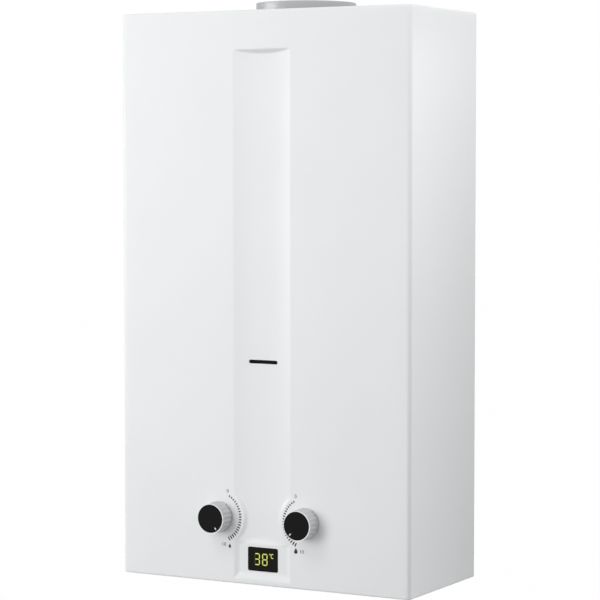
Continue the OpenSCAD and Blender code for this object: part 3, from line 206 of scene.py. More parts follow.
# Digits of the display: each segment is its side, its height and its angle
DIGITS = "38"
DIGIT_X = (-7.0, 2.3)
DIGIT_W = 6.5
DIGIT_H = 12.8
SEGMENT_W = 1.1
SEGMENT_GAP = 0.3
SEGMENT_T = 0.04
SEGMENT_SINK = 0.2
SEGMENTS = {
    "a": (0, 1, 0), "b": (1, 0.5, 90), "c": (1, -0.5, 90), "d": (0, -1, 0),
    "e": (-1, -0.5, 90), "f": (-1, 0.5, 90), "g": (0, 0, 0),
}
DIGIT_LIT = {"3": "abcdg", "8": "abcdefg"}
DEGREE_PLACE = (8.6, 6.2)
UNIT_PLACE = (11.6, 4.3)
UNIT_STRETCH = (0.85, 1.1)

# Flue collar, taken from the frame, and the notch in the casing's top round its flange
collar_low, collar_high = box_mm("flue_collar")
COLLAR_Y = (collar_low[1] + collar_high[1]) / 2
COLLAR_R = 54.25
COLLAR_WALL = 0.8
COLLAR_ROOT = 0.5
COLLAR_STRAIGHT = 3.0
COLLAR_WALL_RINGS = 6
COLLAR_RIM_RINGS = 7
COLLAR_COLUMNS = 192
COLLAR_CREASE_DEG = 50.0
COLLAR_FLANGE_R = (collar_high[0] - collar_low[0]) / 2
NOTCH_GAP = 0.5
NOTCH_R = COLLAR_FLANGE_R + NOTCH_GAP

# Pipe stubs: a G1/2 thread, a spanner hexagon, a bore and, on the hot one, a flange on the bottom plate
THREAD_PITCH = 1.814
THREAD_DEPTH = 1.162
THREAD_PROUD = 1.0
THREAD_RINGS = 120
STUB_L = 14.0
STUB_COLUMNS = 96
BORE_R = 7.0
BORE_CHAMFER = 0.6
BORE_STOP = 3.0
NECK_R = 9.4775
HEX_R = 14.0
HEX_H = 9.0
HEX_CHAMFER_H = 1.0
HEX_CHAMFER_R = HEX_R * 0.9
PLATE_T = 1.2
PLATE_TOP = SHEET + PLATE_T
HEX_LIFT = {"gas_nipple": 10.0, "cold_nipple": 10.0, "hot_nipple": 5.0}
FLANGE_R = HEX_R + 2.0
FLANGE_TOP = PLATE_TOP + 3.0
HOT_FLANGE = [(NECK_R, PLATE_TOP), (FLANGE_R, PLATE_TOP), (FLANGE_R, FLANGE_TOP), (NECK_R, FLANGE_TOP)]

# Cover screws: stem, pan head and cross recess
SCREW_R = 1.9
SCREW_L = 9.0
SCREW_COLUMNS = 72
HEAD_R = 3.6
HEAD_H = 1.2
HEAD_EDGE = 0.4
HEAD_CHAMFER = 0.15
CROSS_L = 4.4
CROSS_W = 1.0
CROSS_DEPTH = 0.8
CROSS_WALL = 0.2
PLAIN_RINGS = (3.1, 2.4, 3)
CROSS_RINGS = (2.3, 0.0, 24)

# Dry cells: pairs of radius and height over the foot, then of radius and depth under the top, and how far the
# jacket stops short of both
CELL_R = 17.1
CELL_FOOT = ((0, 0.5), (12.6, 0.5), (12.9, 0), (15.9, 0), (16.2, 0.4), (16.8, 0.4), (CELL_R, 0.8))
CELL_HEAD = ((CELL_R, 3), (16.7, 2), (5.2, 2), (4.75, 1.6), (4.75, 0.4), (4.3, 0), (0, 0))
JACKET_FOOT = 0.7
JACKET_HEAD = 2.2

# Camera fitted to the casing's corners in the photograph
CAMERA_PLACE = (1216.8, -2283.0, 447.4)
CAMERA_YAW = 0.5035
CAMERA_PITCH = 0.0583
CAMERA_LENS = 139.35
CAMERA_SENSOR = 36.0

# Studio: the floor's half width, its depth below the casing and its share of plain white, and the strength of
# the even light from all round
FLOOR_HALF = 12000.0
FLOOR_DROP = 300.0
FLOOR_WHITE = 0.994
AMBIENT = 0.5

# Sockets of a Mix node that mixes colours
COLOUR_A = 6
COLOUR_B = 7
COLOUR_OUT = 2


def linear(hex_code):
    """Linear red, green, blue and full alpha of an sRGB hex colour."""
    value = np.array([int(hex_code[i:i + 2], 16) for i in (1, 3, 5)]) / 255
    bright = ((value + 0.055) / 1.055) ** 2.4
    return (*np.where(value <= 0.04045, value / 12.92, bright).tolist(), 1.0)


def add_node(tree, kind, inputs=None, **properties):
    """Adds a node. An input is a plain value, or a pair of another node and the name of its output."""
    node = tree.nodes.new(kind)
    for name, value in properties.items():
        setattr(node, name, value)
    for name, value in (inputs or {}).items():
        if isinstance(value, tuple) and isinstance(value[0], bpy.types.Node):
            tree.links.new(value[0].outputs[value[1]], node.inputs[name])
        else:
            node.inputs[name].default_value = value
    return node


# Kinds of colour drift: the node, its output and its detail
CLOUDS = ("ShaderNodeTexNoise", "Fac", 4.0)
CRYSTALS = ("ShaderNodeTexVoronoi", "Color", 0.0)


def surface_finish(name, shades, roughness, grain_mm, relief_mm=0.0, cloud_mm=70.0,
                   stretch=(1, 1, 1), shader_values=None, drift=CLOUDS):
    """Finish whose colour drifts between two shades, with a fine grain in its gloss and relief.

    Both patterns lie on Object coordinates: one grain is grain_mm across and one drift of colour cloud_mm,
    and stretch draws the grain out along an axis, as a brush or a roller does. The drift is soft clouds, or
    cells that each have a tone of their own, as crystals have.
    """
    drift_kind, drift_output, drift_detail = drift
    material = bpy.data.materials.new(name)
    material.use_nodes = True
    tree = material.node_tree
    tree.nodes.clear()
    coords = add_node(tree, "ShaderNodeTexCoord")
    drawn = add_node(tree, "ShaderNodeMapping", {"Vector": (coords, "Object"), "Scale": stretch})
    grain = add_node(tree, "ShaderNodeTexNoise",
                     {"Vector": (drawn, "Vector"), "Scale": 1 / (grain_mm * MM), "Detail": 3.0})
    cloud = add_node(tree, drift_kind, {"Vector": (coords, "Object"), "Scale": 1 / (cloud_mm * MM),
                                        "Detail": drift_detail})
    colour = add_node(tree, "ShaderNodeMix",
                      {0: (cloud, drift_output), COLOUR_A: linear(shades[0]), COLOUR_B: linear(shades[1])},
                      data_type="RGBA")
    gloss = add_node(tree, "ShaderNodeMapRange",
                     {"Value": (grain, "Fac"), "To Min": roughness[0], "To Max": roughness[1]})
    relief = add_node(tree, "ShaderNodeBump",
                      {"Height": (grain, "Fac"), "Distance": relief_mm * MM, "Strength": 1.0})
    shader = add_node(tree, "ShaderNodeBsdfPrincipled",
                      {"Base Color": (colour, COLOUR_OUT), "Roughness": (gloss, "Result"),
                       "Normal": (relief, "Normal"), **(shader_values or {})})
    add_node(tree, "ShaderNodeOutputMaterial", {"Surface": (shader, "BSDF")})
    return material


METAL = {"Metallic": 1.0}

# Polyester powder coat, baked: a satin white with a fine orange peel
powder_coat = surface_finish("white_powder_coat", ("#ebedee", "#e7e9ea"), (0.34, 0.42), 1.6, 0.004,
                             shader_values={"IOR": 1.5})
# Rolled aluminised sheet: a dull grey sheen, with fine marks drawn round the collar
aluminised_sheet = surface_finish("aluminised_sheet", ("#c0c1c2", "#b0b1b3"), (0.4, 0.5), 3.0, 0.006,
                                  stretch=(0.15, 0.15, 6.0), shader_values=METAL)
# Hot-dip galvanised sheet: crystals of zinc that each catch the light a little differently
galvanised_sheet = surface_finish("galvanised_sheet", ("#bcc0c2", "#9ea4a8"), (0.32, 0.5), 7.0, 0.006,
                                  cloud_mm=9.0, shader_values=METAL, drift=CRYSTALS)
# Rolled stainless sheet: a soft shine, tinted straw by the flame
stainless_sheet = surface_finish("stainless_sheet", ("#a8a39b", "#9b9186"), (0.28, 0.42), 2.0, 0.004,
                                 stretch=(0.2, 3, 3), shader_values=METAL)
# Drawn copper: a red brown, dulled in patches by heat and handling
dull_copper = surface_finish("dull_copper", ("#b8765a", "#9c5c42"), (0.3, 0.48), 4.0, 0.006,
                             cloud_mm=25.0, shader_values=METAL)
# Machined brass: a warm yellow whose shine is broken by fine tool marks
machined_brass = surface_finish("machined_brass", ("#c8a868", "#b89655"), (0.24, 0.38), 1.2, 0.004,
                                shader_values=METAL)
# Zinc-plated steel, passivated: a pale grey with an even shine
zinc_plate = surface_finish("zinc_plate", ("#b7b8b4", "#a8aaa8"), (0.26, 0.4), 1.5, 0.003,
                            shader_values=METAL)
# Die-cast aluminium, shot-blasted: a matt grey with fine pits
cast_aluminium = surface_finish("cast_aluminium", ("#b0b2b4", "#a2a5a7"), (0.45, 0.6), 0.9, 0.02,
                                shader_values=METAL)
# Satin plating on a moulded knob: a pale silver with soft reflections
knob_plating = surface_finish("satin_knob_plating", ("#dadadb", "#d2d2d4"), (0.32, 0.4), 0.5, 0.002,
                              shader_values={"Metallic": 0.85})
# Polished plating on the knob's front ring, lighter in colour than the skirt's: partly its real polish and
# partly a painted highlight, so it catches the light as a bright line
polished_ring_and_highlight = surface_finish("knob_ring_polish_and_painted_highlight", ("#f2f2f2", "#ececec"), (0.16, 0.24), 0.5, 0.001,
                                shader_values=METAL)
# Moulded black ABS, finely spark-textured: a deep black with hardly a shine
black_abs = surface_finish("black_moulded_abs", ("#0e0d0e", "#121112"), (0.42, 0.52), 0.4, 0.006,
                           shader_values={"IOR": 1.53, "Specular IOR Level": 0.08})
# Moulded grey ABS, spark-textured: a dark satin grey
grey_abs = surface_finish("grey_moulded_abs", ("#4c4f52", "#505356"), (0.45, 0.56), 0.6, 0.008,
                          shader_values={"IOR": 1.53})
# Moulded white ABS, spark-textured: a satin white, warmer than the casing's
white_abs = surface_finish("white_moulded_abs", ("#e2e2de", "#dddedb"), (0.4, 0.5), 0.6, 0.006,
                           shader_values={"IOR": 1.53})
# Smoked acrylic, polished: a black window with a faint sharp gloss
black_acrylic = surface_finish("black_acrylic", ("#12110c", "#15140e"), (0.1, 0.16), 8.0, 0.0,
                               shader_values={"IOR": 1.49, "Specular IOR Level": 0.1})
# Solder mask over copper tracks: a deep green in two near shades
circuit_board = surface_finish("circuit_board", ("#14502c", "#0f4526"), (0.35, 0.5), 2.0, 0.01,
                               cloud_mm=6.0, shader_values={"IOR": 1.5})
# Mica of the sight slot, made opaque and near black: painted shade of the unlit burner inside, so it reads as
# a black line across the panel
mica_painted_shade = surface_finish("mica_painted_shade", ("#15140f", "#100f0c"), (0.3, 0.4), 5.0, 0.002,
                            shader_values={"IOR": 1.58, "Specular IOR Level": 0.05})
# Glazed electrical ceramic: a cream white with a wet gloss
glazed_ceramic = surface_finish("glazed_ceramic", ("#e6e2d6", "#dcd7c9"), (0.15, 0.22), 3.0, 0.002,
                                shader_values={"IOR": 1.6})
# Moulded rubber: a black without gloss
moulded_rubber = surface_finish("moulded_rubber", ("#1c1c1c", "#232323"), (0.6, 0.75), 0.8, 0.01,
                                shader_values={"IOR": 1.52})
# Extruded silicone on the ignition lead: a dull dark red
red_silicone = surface_finish("red_silicone", ("#85201b", "#761b17"), (0.5, 0.6), 0.8, 0.006,
                              shader_values={"IOR": 1.43})
# Extruded PVC on the sensor's lead and the low-voltage wiring: a satin dark grey
grey_insulation = surface_finish("grey_insulation", ("#36373a", "#2f3033"), (0.45, 0.55), 0.8, 0.004,
                                 shader_values={"IOR": 1.52})
# Shrunk film round a dry cell: a plain blue with a clear gloss
cell_jacket = surface_finish("printed_cell_jacket", ("#3d5b80", "#375477"), (0.25, 0.35), 2.0, 0.002,
                             shader_values={"IOR": 1.5})
# Screen-printed ink of the scales and signs: a flat black
panel_ink = surface_finish("panel_ink", ("#060607", "#0a0a0b"), (0.4, 0.5), 0.3, 0.002,
                           shader_values={"IOR": 1.5})
# The same ink in the thin strokes of the numbers: a little greyer
number_ink = surface_finish("number_ink", ("#1d1e1f", "#191a1b"), (0.4, 0.5), 0.3, 0.002,
                            shader_values={"IOR": 1.5})
# Pad-printed ink of the pointers: an off-white that stands out from the black cap
pointer_ink = surface_finish("pointer_ink", ("#e8e8e6", "#dededc"), (0.4, 0.5), 0.3, 0.002,
                             shader_values={"IOR": 1.5})
# Lit segments behind the window: a yellow green glow
lit_segment = surface_finish("lit_segment", ("#2a2c10", "#2a2c10"), (0.3, 0.35), 2.0, 0.0,
                             shader_values={"Emission Color": linear("#dbe468"), "Emission Strength": 0.95})
# Unlit segments: a brown black that hardly shows in the window
unlit_segment = surface_finish("unlit_segment", ("#211f18", "#23211a"), (0.3, 0.35), 2.0, 0.0,
                               shader_values={"IOR": 1.49})

SLOT_FINISH = {
    "white_powder_coat": powder_coat, "galvanised_sheet": galvanised_sheet, "collar_metal": aluminised_sheet,
    "stainless_sheet": stainless_sheet, "copper": dull_copper, "brass": machined_brass,
    "zinc_steel": zinc_plate, "cast_aluminium": cast_aluminium, "knob_silver": knob_plating,
    "black_plastic": black_abs, "grey_plastic": grey_abs, "white_plastic": white_abs,
    "display_black": black_acrylic, "circuit_board": circuit_board, "mica": mica_painted_shade,
    "ceramic": glazed_ceramic, "rubber": moulded_rubber, "cable_red": red_silicone,
    "cable_grey": grey_insulation, "cell_jacket": cell_jacket,
}
for subpart in frame["record"]["subparts"]:
    cad_mesh = frame["nodes"][subpart["node"]].data
    cad_mesh.materials.clear()
    cad_mesh.materials.append(SLOT_FINISH[subpart["material_slot"]])


def grid_faces(rows, cols, close_cols=False):
    """Quads between neighbours of a grid that is stored row by row, joined up where its columns close."""
    row, col = np.meshgrid(np.arange(rows - 1), np.arange(cols if close_cols else cols - 1), indexing="ij")
    here, beside = row * cols + col, row * cols + (col + 1) % cols
    return np.stack([here, beside, beside + cols, here + cols], -1).reshape(-1, 4)


def shade(mesh, crease_deg):
    """Smooth shading, but for edges where two faces meet at more than the crease's angle."""
    mesh.shade_smooth()
    mesh.set_sharp_from_angle(angle=math.radians(crease_deg))


def add_piece(name, points, faces, finish, body, replaces=(), crease_deg=CREASE_DEG):
    """Piece from points in millimetres, welded, facing outwards and smooth but for creases."""
    mesh = bpy.data.meshes.new(name)
    mesh.from_pydata(set_in_frame(points).tolist(), [], [list(face) for face in faces])
    welded = bmesh.new()
    welded.from_mesh(mesh)
    bmesh.ops.remove_doubles(welded, verts=welded.verts, dist=WELD_MM * MM)
    bmesh.ops.recalc_face_normals(welded, faces=welded.faces)
    welded.to_mesh(mesh)
    welded.free()
    shade(mesh, crease_deg)
    mesh.materials.append(finish)
    piece = bpy.data.objects.new(name, mesh)
    bpy.context.scene.collection.objects.link(piece)
    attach(piece, body)
    if replaces:
        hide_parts(*replaces)
    return piece


def apply_modifiers(piece):
    """Puts the result of a piece's modifiers into its mesh."""
    graph = bpy.context.evaluated_depsgraph_get()
    made = bpy.data.meshes.new_from_object(piece.evaluated_get(graph))
    piece.modifiers.clear()
    piece.data = made
    shade(made, CREASE_DEG)


def finish_faces(mesh, finish, chosen):
    """Gives a second finish to the chosen faces: chosen turns their middles in millimetres into yes or no."""
    mesh.materials.append(finish)
    centres = np.empty(len(mesh.polygons) * 3)
    mesh.polygons.foreach_get("center", centres)
    centres = (centres.reshape(-1, 3) - [0.0, 0.0, FOOT_Z]) / MM
    mesh.polygons.foreach_set("material_index", chosen(centres).astype(np.int32))


def spaced(*stops):
    """Places from stop to stop: each stop is a place and the spacing used up to the next one."""
    runs = [np.linspace(a, b, max(1, round((b - a) / step)), endpoint=False)
            for (a, step), (b, _) in zip(stops, stops[1:])]
    return np.concatenate([*runs, [stops[-1][0]]])


def stadium(length, width, steps=8):
    """Outline of a bar along x with round ends."""
    turn = np.linspace(-math.pi / 2, math.pi / 2, steps)
    end = np.stack([np.cos(turn), np.sin(turn)], -1) * width / 2 + [(length - width) / 2, 0]
    return np.concatenate([end, -end])


def rounded_rectangle(width, height, radius, steps=6):
    """Outline of a rectangle whose corners are quarter circles."""
    turn = np.linspace(0, math.pi / 2, steps)
    corner = np.stack([np.cos(turn), np.sin(turn)], -1) * radius + [width / 2 - radius, height / 2 - radius]
    quarter = corner * [-1, 1]
    return np.concatenate([corner, quarter[::-1], -corner, -quarter[::-1]])


def slab(outline, back, front):
    """Flat outline in x and z carried from the plane y = back to y = front, with both ends closed."""
    count = len(outline)
    ring = np.insert(outline, 1, 0.0, axis=1)
    points = np.concatenate([ring + [0, back, 0], ring + [0, front, 0]])
    sides = grid_faces(2, count, close_cols=True)
    ends = np.arange(count)
    return points, [*sides.tolist(), ends.tolist(), (ends[::-1] + count).tolist()]


def slabs(outlines, back, front):
    """Several slabs as one set of points and faces."""
    points, faces, start = [], [], 0
    for outline in outlines:
        more_points, more_faces = slab(outline, back, front)
        points.append(more_points)
        faces += [[start + i for i in face] for face in more_faces]
        start += len(more_points)
    return np.concatenate(points), faces


def spoke(angle_deg):
    """Direction in x and z at an angle seen from the front: its cosine and its sine."""
    return np.array([math.cos(math.radians(angle_deg)), math.sin(math.radians(angle_deg))])


def turned_about(outline, angle_deg, place):
    """Outline turned by an angle seen from the front, then moved to a place in x and z."""
    c, s = spoke(angle_deg)
    return outline @ np.array([[c, s], [-s, c]]) + place


def smooth_min(a, b, soft):
    """Lesser of two heights, rounded over where they differ by less than soft."""
    near = np.clip(1 - np.abs(a - b) / soft, 0, 1)
    return np.minimum(a, b) - near ** 2 * soft / 4


def smooth_max(a, b, soft):
    """Greater of two heights, rounded in the same way."""
    return -smooth_min(-a, -b, soft)


def panel_depth(x, z):
    """How far the pressed front lies behind its flat.

    The channel is the least of an arc across x, a slope at its head and a slope at its foot. The display
    recess is the least of a flat floor and slopes at its sides, foot and head. The front takes the greater
    of the two, and no more than the cones that rise from the knob pads.
    """
    arc = CHANNEL_DEPTH - CHANNEL_R + np.sqrt(np.clip(CHANNEL_R ** 2 - x ** 2, 0, None))
    head = (CHANNEL_TOP - z) * CHANNEL_DEPTH / LEDGE_H
    foot = RECESS_DEPTH + (z - RECESS_TOP) * (CHANNEL_DEPTH - RECESS_DEPTH) / STEP_H
    channel = smooth_min(smooth_min(arc, head, SOFT_PRESS / 2), foot, SOFT_PRESS / 2)
    side = (RECESS_W / 2 - np.abs(x)) * RECESS_DEPTH / RECESS_SIDE
    ramp = (z - RECESS_FOOT) * RECESS_DEPTH / RECESS_SLOPE
    roof = (RECESS_TOP + SHEET - z) * ROOF_SLOPE
    floor = smooth_min(np.minimum(RECESS_DEPTH, roof), side, SOFT_CHANNEL)
    recess = smooth_min(floor, ramp, SOFT_CHANNEL)
    pressed = smooth_max(channel, recess, SOFT_CHANNEL)
    for sign in KNOB_SIDES.values():
        cone = np.hypot(x - sign * KNOB_X, z - KNOB_Z) - PAD_R
        pressed = smooth_min(pressed, cone, SOFT_PRESS)
    return smooth_max(pressed, 0 * x, SOFT_CHANNEL)


def cover_section(inset, corner, z):
    """Rows of the casing's outline: left side, round corner, pressed front, round corner, right side.

    Each row lies at its own height and is drawn in by its inset; only a row that isn't drawn in is pressed.
    """
    inset, corner, z = (np.asarray(v, float)[:, None] for v in (inset, corner, z))
    half, front = HALF_W - inset, FRONT_Y + inset
    along = np.linspace(0, 1, SIDE_POINTS, endpoint=False)[None, :]
    turn = np.linspace(0, math.pi / 2, CORNER_POINTS)[None, :]
    flat = spaced(*ACROSS_STOPS)
    x_flat = flat[None, 1:-1] / flat[-1] * (half - corner)
    y_flat = front + np.where(inset == 0, panel_depth(x_flat, z + 0 * x_flat), 0)
    side_y = along * (front + corner)
    left_x = -half + corner - corner * np.cos(turn)
    left_y = front + corner - corner * np.sin(turn)
    side_x = -half + 0 * side_y
    x = np.concatenate([side_x, left_x, x_flat, -left_x[:, ::-1], -side_x[:, ::-1]], 1)
    y = np.concatenate([side_y, left_y, y_flat, left_y[:, ::-1], side_y[:, ::-1]], 1)
    return np.stack([x, y, z + 0 * x], -1)


def notch_edge(columns):
    """Edge of the flue notch with as many points as the casing's outline: two straights and a half circle."""
    straight = np.linspace(0, COLLAR_Y, SIDE_POINTS, endpoint=False)
    turn = np.linspace(0, math.pi, columns - 2 * SIDE_POINTS)
    x = np.concatenate([0 * straight - NOTCH_R, -NOTCH_R * np.cos(turn), 0 * straight + NOTCH_R])
    y = np.concatenate([straight, COLLAR_Y - NOTCH_R * np.sin(turn), straight[::-1]])
    return np.stack([x, y, 0 * x + CASE_H], -1)


def cover_rows():
    """Outer skin of the cover: the lip under its foot, the walls, and the top as far as the flue notch."""
    bend = np.linspace(0, math.pi / 2, BEND_POINTS)
    wall_z = spaced(*UP_STOPS)
    lip = cover_section((LIP_W, LIP_MID), LIP_CORNERS, (0, 0))
    foot = cover_section(FOOT_BEND * (1 - np.sin(bend)), EDGE_R - FOOT_BEND * (1 - np.sin(bend)),
                         FOOT_BEND * (1 - np.cos(bend)))
    wall = cover_section(0 * wall_z, 0 * wall_z + EDGE_R, wall_z)
    top = cover_section(TOP_R * (1 - np.cos(bend)), EDGE_R - TOP_R * (1 - np.cos(bend)),
                        CASE_H - TOP_R + TOP_R * np.sin(bend))
    share = np.array(TOP_SHARES)[:, None, None]
    panel = top[-1] * (1 - share) + notch_edge(top.shape[1]) * share
    return np.concatenate([lip, foot[:-1], wall, top[1:], panel])


def front_panel():
    """Pressed cover: its skin thickened inwards to the sheet, then pierced."""
    rows = cover_rows()
    count, columns, _ = rows.shape
    piece = add_piece("front_cover_shell", rows.reshape(-1, 3), grid_faces(count, columns), powder_coat,
                      "casing", ["front_cover"])
    wall = piece.modifiers.new("sheet", "SOLIDIFY")
    wall.thickness = SHEET * MM
    wall.offset = -1.0
    apply_modifiers(piece)
    turn = np.linspace(0, 2 * math.pi, HOLE_POINTS, endpoint=False)
    hole = np.stack([np.cos(turn), np.sin(turn)], -1) * KNOB_HOLE_R
    outlines = [
        stadium(SIGHT_W, SIGHT_H, steps=14) + [0, SIGHT_Z],
        rounded_rectangle(WINDOW_W, WINDOW_H, WINDOW_R) + [0, LENS_Z],
        hole + [-KNOB_X, KNOB_Z],
        hole + [KNOB_X, KNOB_Z],
    ]
    points, faces = slabs(outlines, FRONT_Y + PUNCH_REACH, FRONT_Y - PUNCH_REACH)
    punch = add_piece("punch", points, faces, powder_coat, "casing")
    cut = piece.modifiers.new("holes", "BOOLEAN")
    cut.object = punch
    cut.operation = "DIFFERENCE"
    cut.solver = "EXACT"
    apply_modifiers(piece)
    bpy.data.objects.remove(punch)


def round_surface(radius, height, centre, axis):
    """Grid round an axis: radius has a row per ring and a column per angle, height a value per ring."""
    columns = radius.shape[1]
    turn = np.linspace(0, 2 * math.pi, columns, endpoint=False)
    across = np.array([1.0, 0.0, 0.0])
    axis = np.asarray(axis, float)
    up = np.cross(axis, across)
    spokes = np.cos(turn)[:, None] * across + np.sin(turn)[:, None] * up
    points = centre + radius[..., None] * spokes + np.asarray(height)[:, None, None] * axis
    return points.reshape(-1, 3), grid_faces(len(radius), columns, close_cols=True)


def lathe(profile, columns=96):
    """Radius grid and heights of a profile given as pairs of radius and height."""
    radius, height = np.array(profile, float).T
    return np.repeat(radius[:, None], columns, 1), height


def knob_foot(side):
    """Middle of a knob's foot, on its axis."""
    return np.array([KNOB_SIDES[side] * KNOB_X, KNOB_Y, KNOB_Z])


def flute_depth(columns):
    """Depth of the scallops round the knob's foot: a circle that dips into the wall at each flute."""
    turn = np.linspace(0, 2 * math.pi, columns, endpoint=False)
    off_centre = (turn * FLUTES / (2 * math.pi) + 0.5) % 1 - 0.5
    across = off_centre * 2 * math.pi / FLUTES * KNOB_R
    dip = np.sqrt(np.clip(FLUTE_R ** 2 - across ** 2, 0, None)) - (FLUTE_R - FLUTE_DEPTH)
    return smooth_max(dip, 0 * dip, FLUTE_SOFT)


def knob_skirt(side):
    """Fluted skirt turned round the spindle, with a polished front ring whose lighter colour is partly a
    painted highlight.

    The wall's radius falls evenly from the foot to the front, less the depth of the flutes, which run out in
    a quarter circle before the front.
    """
    roof_h = SEAT_H - KNOB_ROOF
    seat_r = CAP_R + CAP_GAP
    flute_top = KNOB_LEN - FLUTE_END
    columns = FLUTES * FLUTE_POINTS
    rings = np.linspace(flute_top + FLUTE_LEAD, FOOT_CHAMFER_H, WALL_RINGS)
    wall_h = np.concatenate([[KNOB_LEN - KNOB_BEVEL], rings, [0.0]])
    wall_r = KNOB_R + (FRONT_R - KNOB_R) * wall_h / KNOB_LEN
    rise = np.clip((wall_h - (flute_top - FLUTE_RUNOUT)) / FLUTE_RUNOUT, 0, 1)
    wall = wall_r[:, None] - np.sqrt(1 - rise ** 2)[:, None] * flute_depth(columns)[None, :]
    wall[0] = FRONT_R
    wall[-1] = wall[-2] - FOOT_CHAMFER
    front, front_h = lathe([(0, SEAT_H), (seat_r, SEAT_H), (seat_r, KNOB_LEN - SEAT_CHAMFER),
                            (seat_r + SEAT_CHAMFER, KNOB_LEN), (FRONT_R - KNOB_BEVEL, KNOB_LEN)], columns)
    back, back_h = lathe([(KNOB_R - KNOB_WALL, 0), (FRONT_R - KNOB_WALL, roof_h), (HUB_R, roof_h),
                          (HUB_R, HUB_FOOT), (SPINDLE_R, HUB_FOOT), (SPINDLE_R, roof_h),
                          (0, roof_h)], columns)
    radius = np.concatenate([front, wall, back])
    height = np.concatenate([front_h, wall_h, back_h])
    name = side + "_knob"
    points, faces = round_surface(radius, height, knob_foot(side), FRONT_AXIS)
    skirt = add_piece(name + "_skirt", points, faces, knob_plating, side + "_control", [name])
    # The front ring takes the polished plating, whose lighter colour is partly a painted highlight
    finish_faces(skirt.data, polished_ring_and_highlight, lambda middle: middle[:, 1] < KNOB_Y - KNOB_LEN + KNOB_BEVEL)


def knob_cap(side):
    """Black cap turned with a low crown and a rounded rim, and its pointer printed near the rim."""
    crown = np.linspace(0, 1, CAP_CROWN_RINGS)
    rim_turn = np.linspace(CAP_RIM_START, math.pi / 2, CAP_RIM_RINGS)
    flat_r = CAP_R - CAP_RIM_R
    front_h = SEAT_H + CAP_T
    rim_h = front_h - CAP_CROWN - CAP_RIM_R
    top = [flat_r * crown, front_h - CAP_CROWN * crown ** 2]
    rim = [flat_r + CAP_RIM_R * np.sin(rim_turn), rim_h + CAP_RIM_R * np.cos(rim_turn)]
    profile = np.concatenate([np.array(top).T, np.array(rim).T, [(CAP_R, SEAT_H), (0, SEAT_H)]])
    centre = knob_foot(side)
    name = side + "_knob_cap"
    points, faces = round_surface(*lathe(profile), centre, FRONT_AXIS)
    add_piece(name + "_disc", points, faces, black_abs, side + "_control", [name])
    angle = POINTER_ANGLE[side]
    mark = turned_about(stadium(POINTER_L, POINTER_W), angle, centre[[0, 2]] + POINTER_R * spoke(angle))
    front = KNOB_Y - KNOB_LEN + CAP_SINK
    points, faces = slab(mark, front + POINTER_SINK, front - INK_T)
    add_piece(side + "_pointer", points, faces, pointer_ink, side + "_control")


def dial_ticks(side):
    """Ticks round a knob, whose length grows with a power of the way from the scale's low end to the high."""
    low, high = SCALE_ENDS[side]
    centre = knob_foot(side)[[0, 2]]
    share = np.linspace(0, 1, TICKS)
    lengths = TICK_L[0] + (TICK_L[1] - TICK_L[0]) * share ** TICK_GROWTH
    outlines = [turned_about(stadium(length, TICK_W, steps=4), angle, centre + spoke(angle) * TICK_R)
                for angle, length in zip(low + (high - low) * share, lengths)]
    points, faces = slabs(outlines, FRONT_Y + INK_SINK, FRONT_Y - INK_T)
    add_piece(side + "_scale", points, faces, panel_ink, "casing")


def teardrop(width, height, pinch=1.5, swell=1.3, steps=40):
    """Outline that is round below and comes to a point above.

    As the turn goes round from the top, z is its cosine and x its sine, and x is pinched by a power of the
    sine of half the turn and swelled to make up for that.
    """
    turn = np.linspace(0, 2 * math.pi, steps, endpoint=False)
    x = width / 2 * np.sin(turn) * np.sin(turn / 2) ** pinch * swell
    z = height / 2 * np.cos(turn)
    return np.stack([x, z], -1)


def numeral(text, size, place):
    """Plain numeral as points and faces standing on the panel, centred on a place in x and z."""
    curve = bpy.data.curves.new("numeral", "FONT")
    curve.body = text
    curve.size = size
    curve.extrude = INK_T
    curve.align_x = "CENTER"
    curve.align_y = "CENTER"
    holder = bpy.data.objects.new("numeral", curve)
    bpy.context.scene.collection.objects.link(holder)
    graph = bpy.context.evaluated_depsgraph_get()
    mesh = bpy.data.meshes.new_from_object(holder.evaluated_get(graph))
    flat = np.empty(len(mesh.vertices) * 3)
    mesh.vertices.foreach_get("co", flat)
    flat = flat.reshape(-1, 3)
    points = np.stack([flat[:, 0] + place[0], FRONT_Y - flat[:, 2], flat[:, 1] + place[1]], -1)
    faces = [list(face.vertices) for face in mesh.polygons]
    bpy.data.objects.remove(holder)
    return points, faces


def panel_signs(side):
    """Flame or drop sign and the two end numbers of a scale, printed on the flat of the panel."""
    centre = knob_foot(side)[[0, 2]]
    offset, size = SIGN_PLACES[side]
    points, faces = slab(teardrop(*size) + centre + offset, FRONT_Y + INK_SINK, FRONT_Y - INK_T)
    add_piece(side + "_sign", points, faces, panel_ink, "casing")
    for text, offset in zip(("0", "10"), NUMERAL_PLACES[side]):
        points, faces = numeral(text, NUMERAL_SIZE, centre + offset)
        add_piece(side + "_number_" + text, points, faces, number_ink, "casing")


def segment_bar(length):
    """Bar of a seven-segment digit: a hexagon with pointed ends."""
    half, tip = length / 2, SEGMENT_W / 2
    upper = np.array([(half, 0), (half - tip, tip), (tip - half, tip)])
    return np.concatenate([upper, -upper])


def digit_bars(x, names):
    """Outlines of the named segments of a digit centred on x."""
    reach = (DIGIT_W - SEGMENT_W) / 2, (DIGIT_H - SEGMENT_W) / 2
    bars = []
    for name in names:
        across, up, angle = SEGMENTS[name]
        length = (DIGIT_H / 2 if angle else DIGIT_W) - SEGMENT_W - SEGMENT_GAP
        bars.append(turned_about(segment_bar(length), angle, [x + across * reach[0], LENS_Z + up * reach[1]]))
    return bars


def ring_outline(radius, wall, start_deg, end_deg, steps=20):
    """Open ring between two angles, as for a round letter or a degree sign."""
    turn = np.radians(np.linspace(start_deg, end_deg, steps))
    spokes = np.stack([np.cos(turn), np.sin(turn)], -1)
    return np.concatenate([spokes * radius, (spokes * (radius - wall))[::-1]])


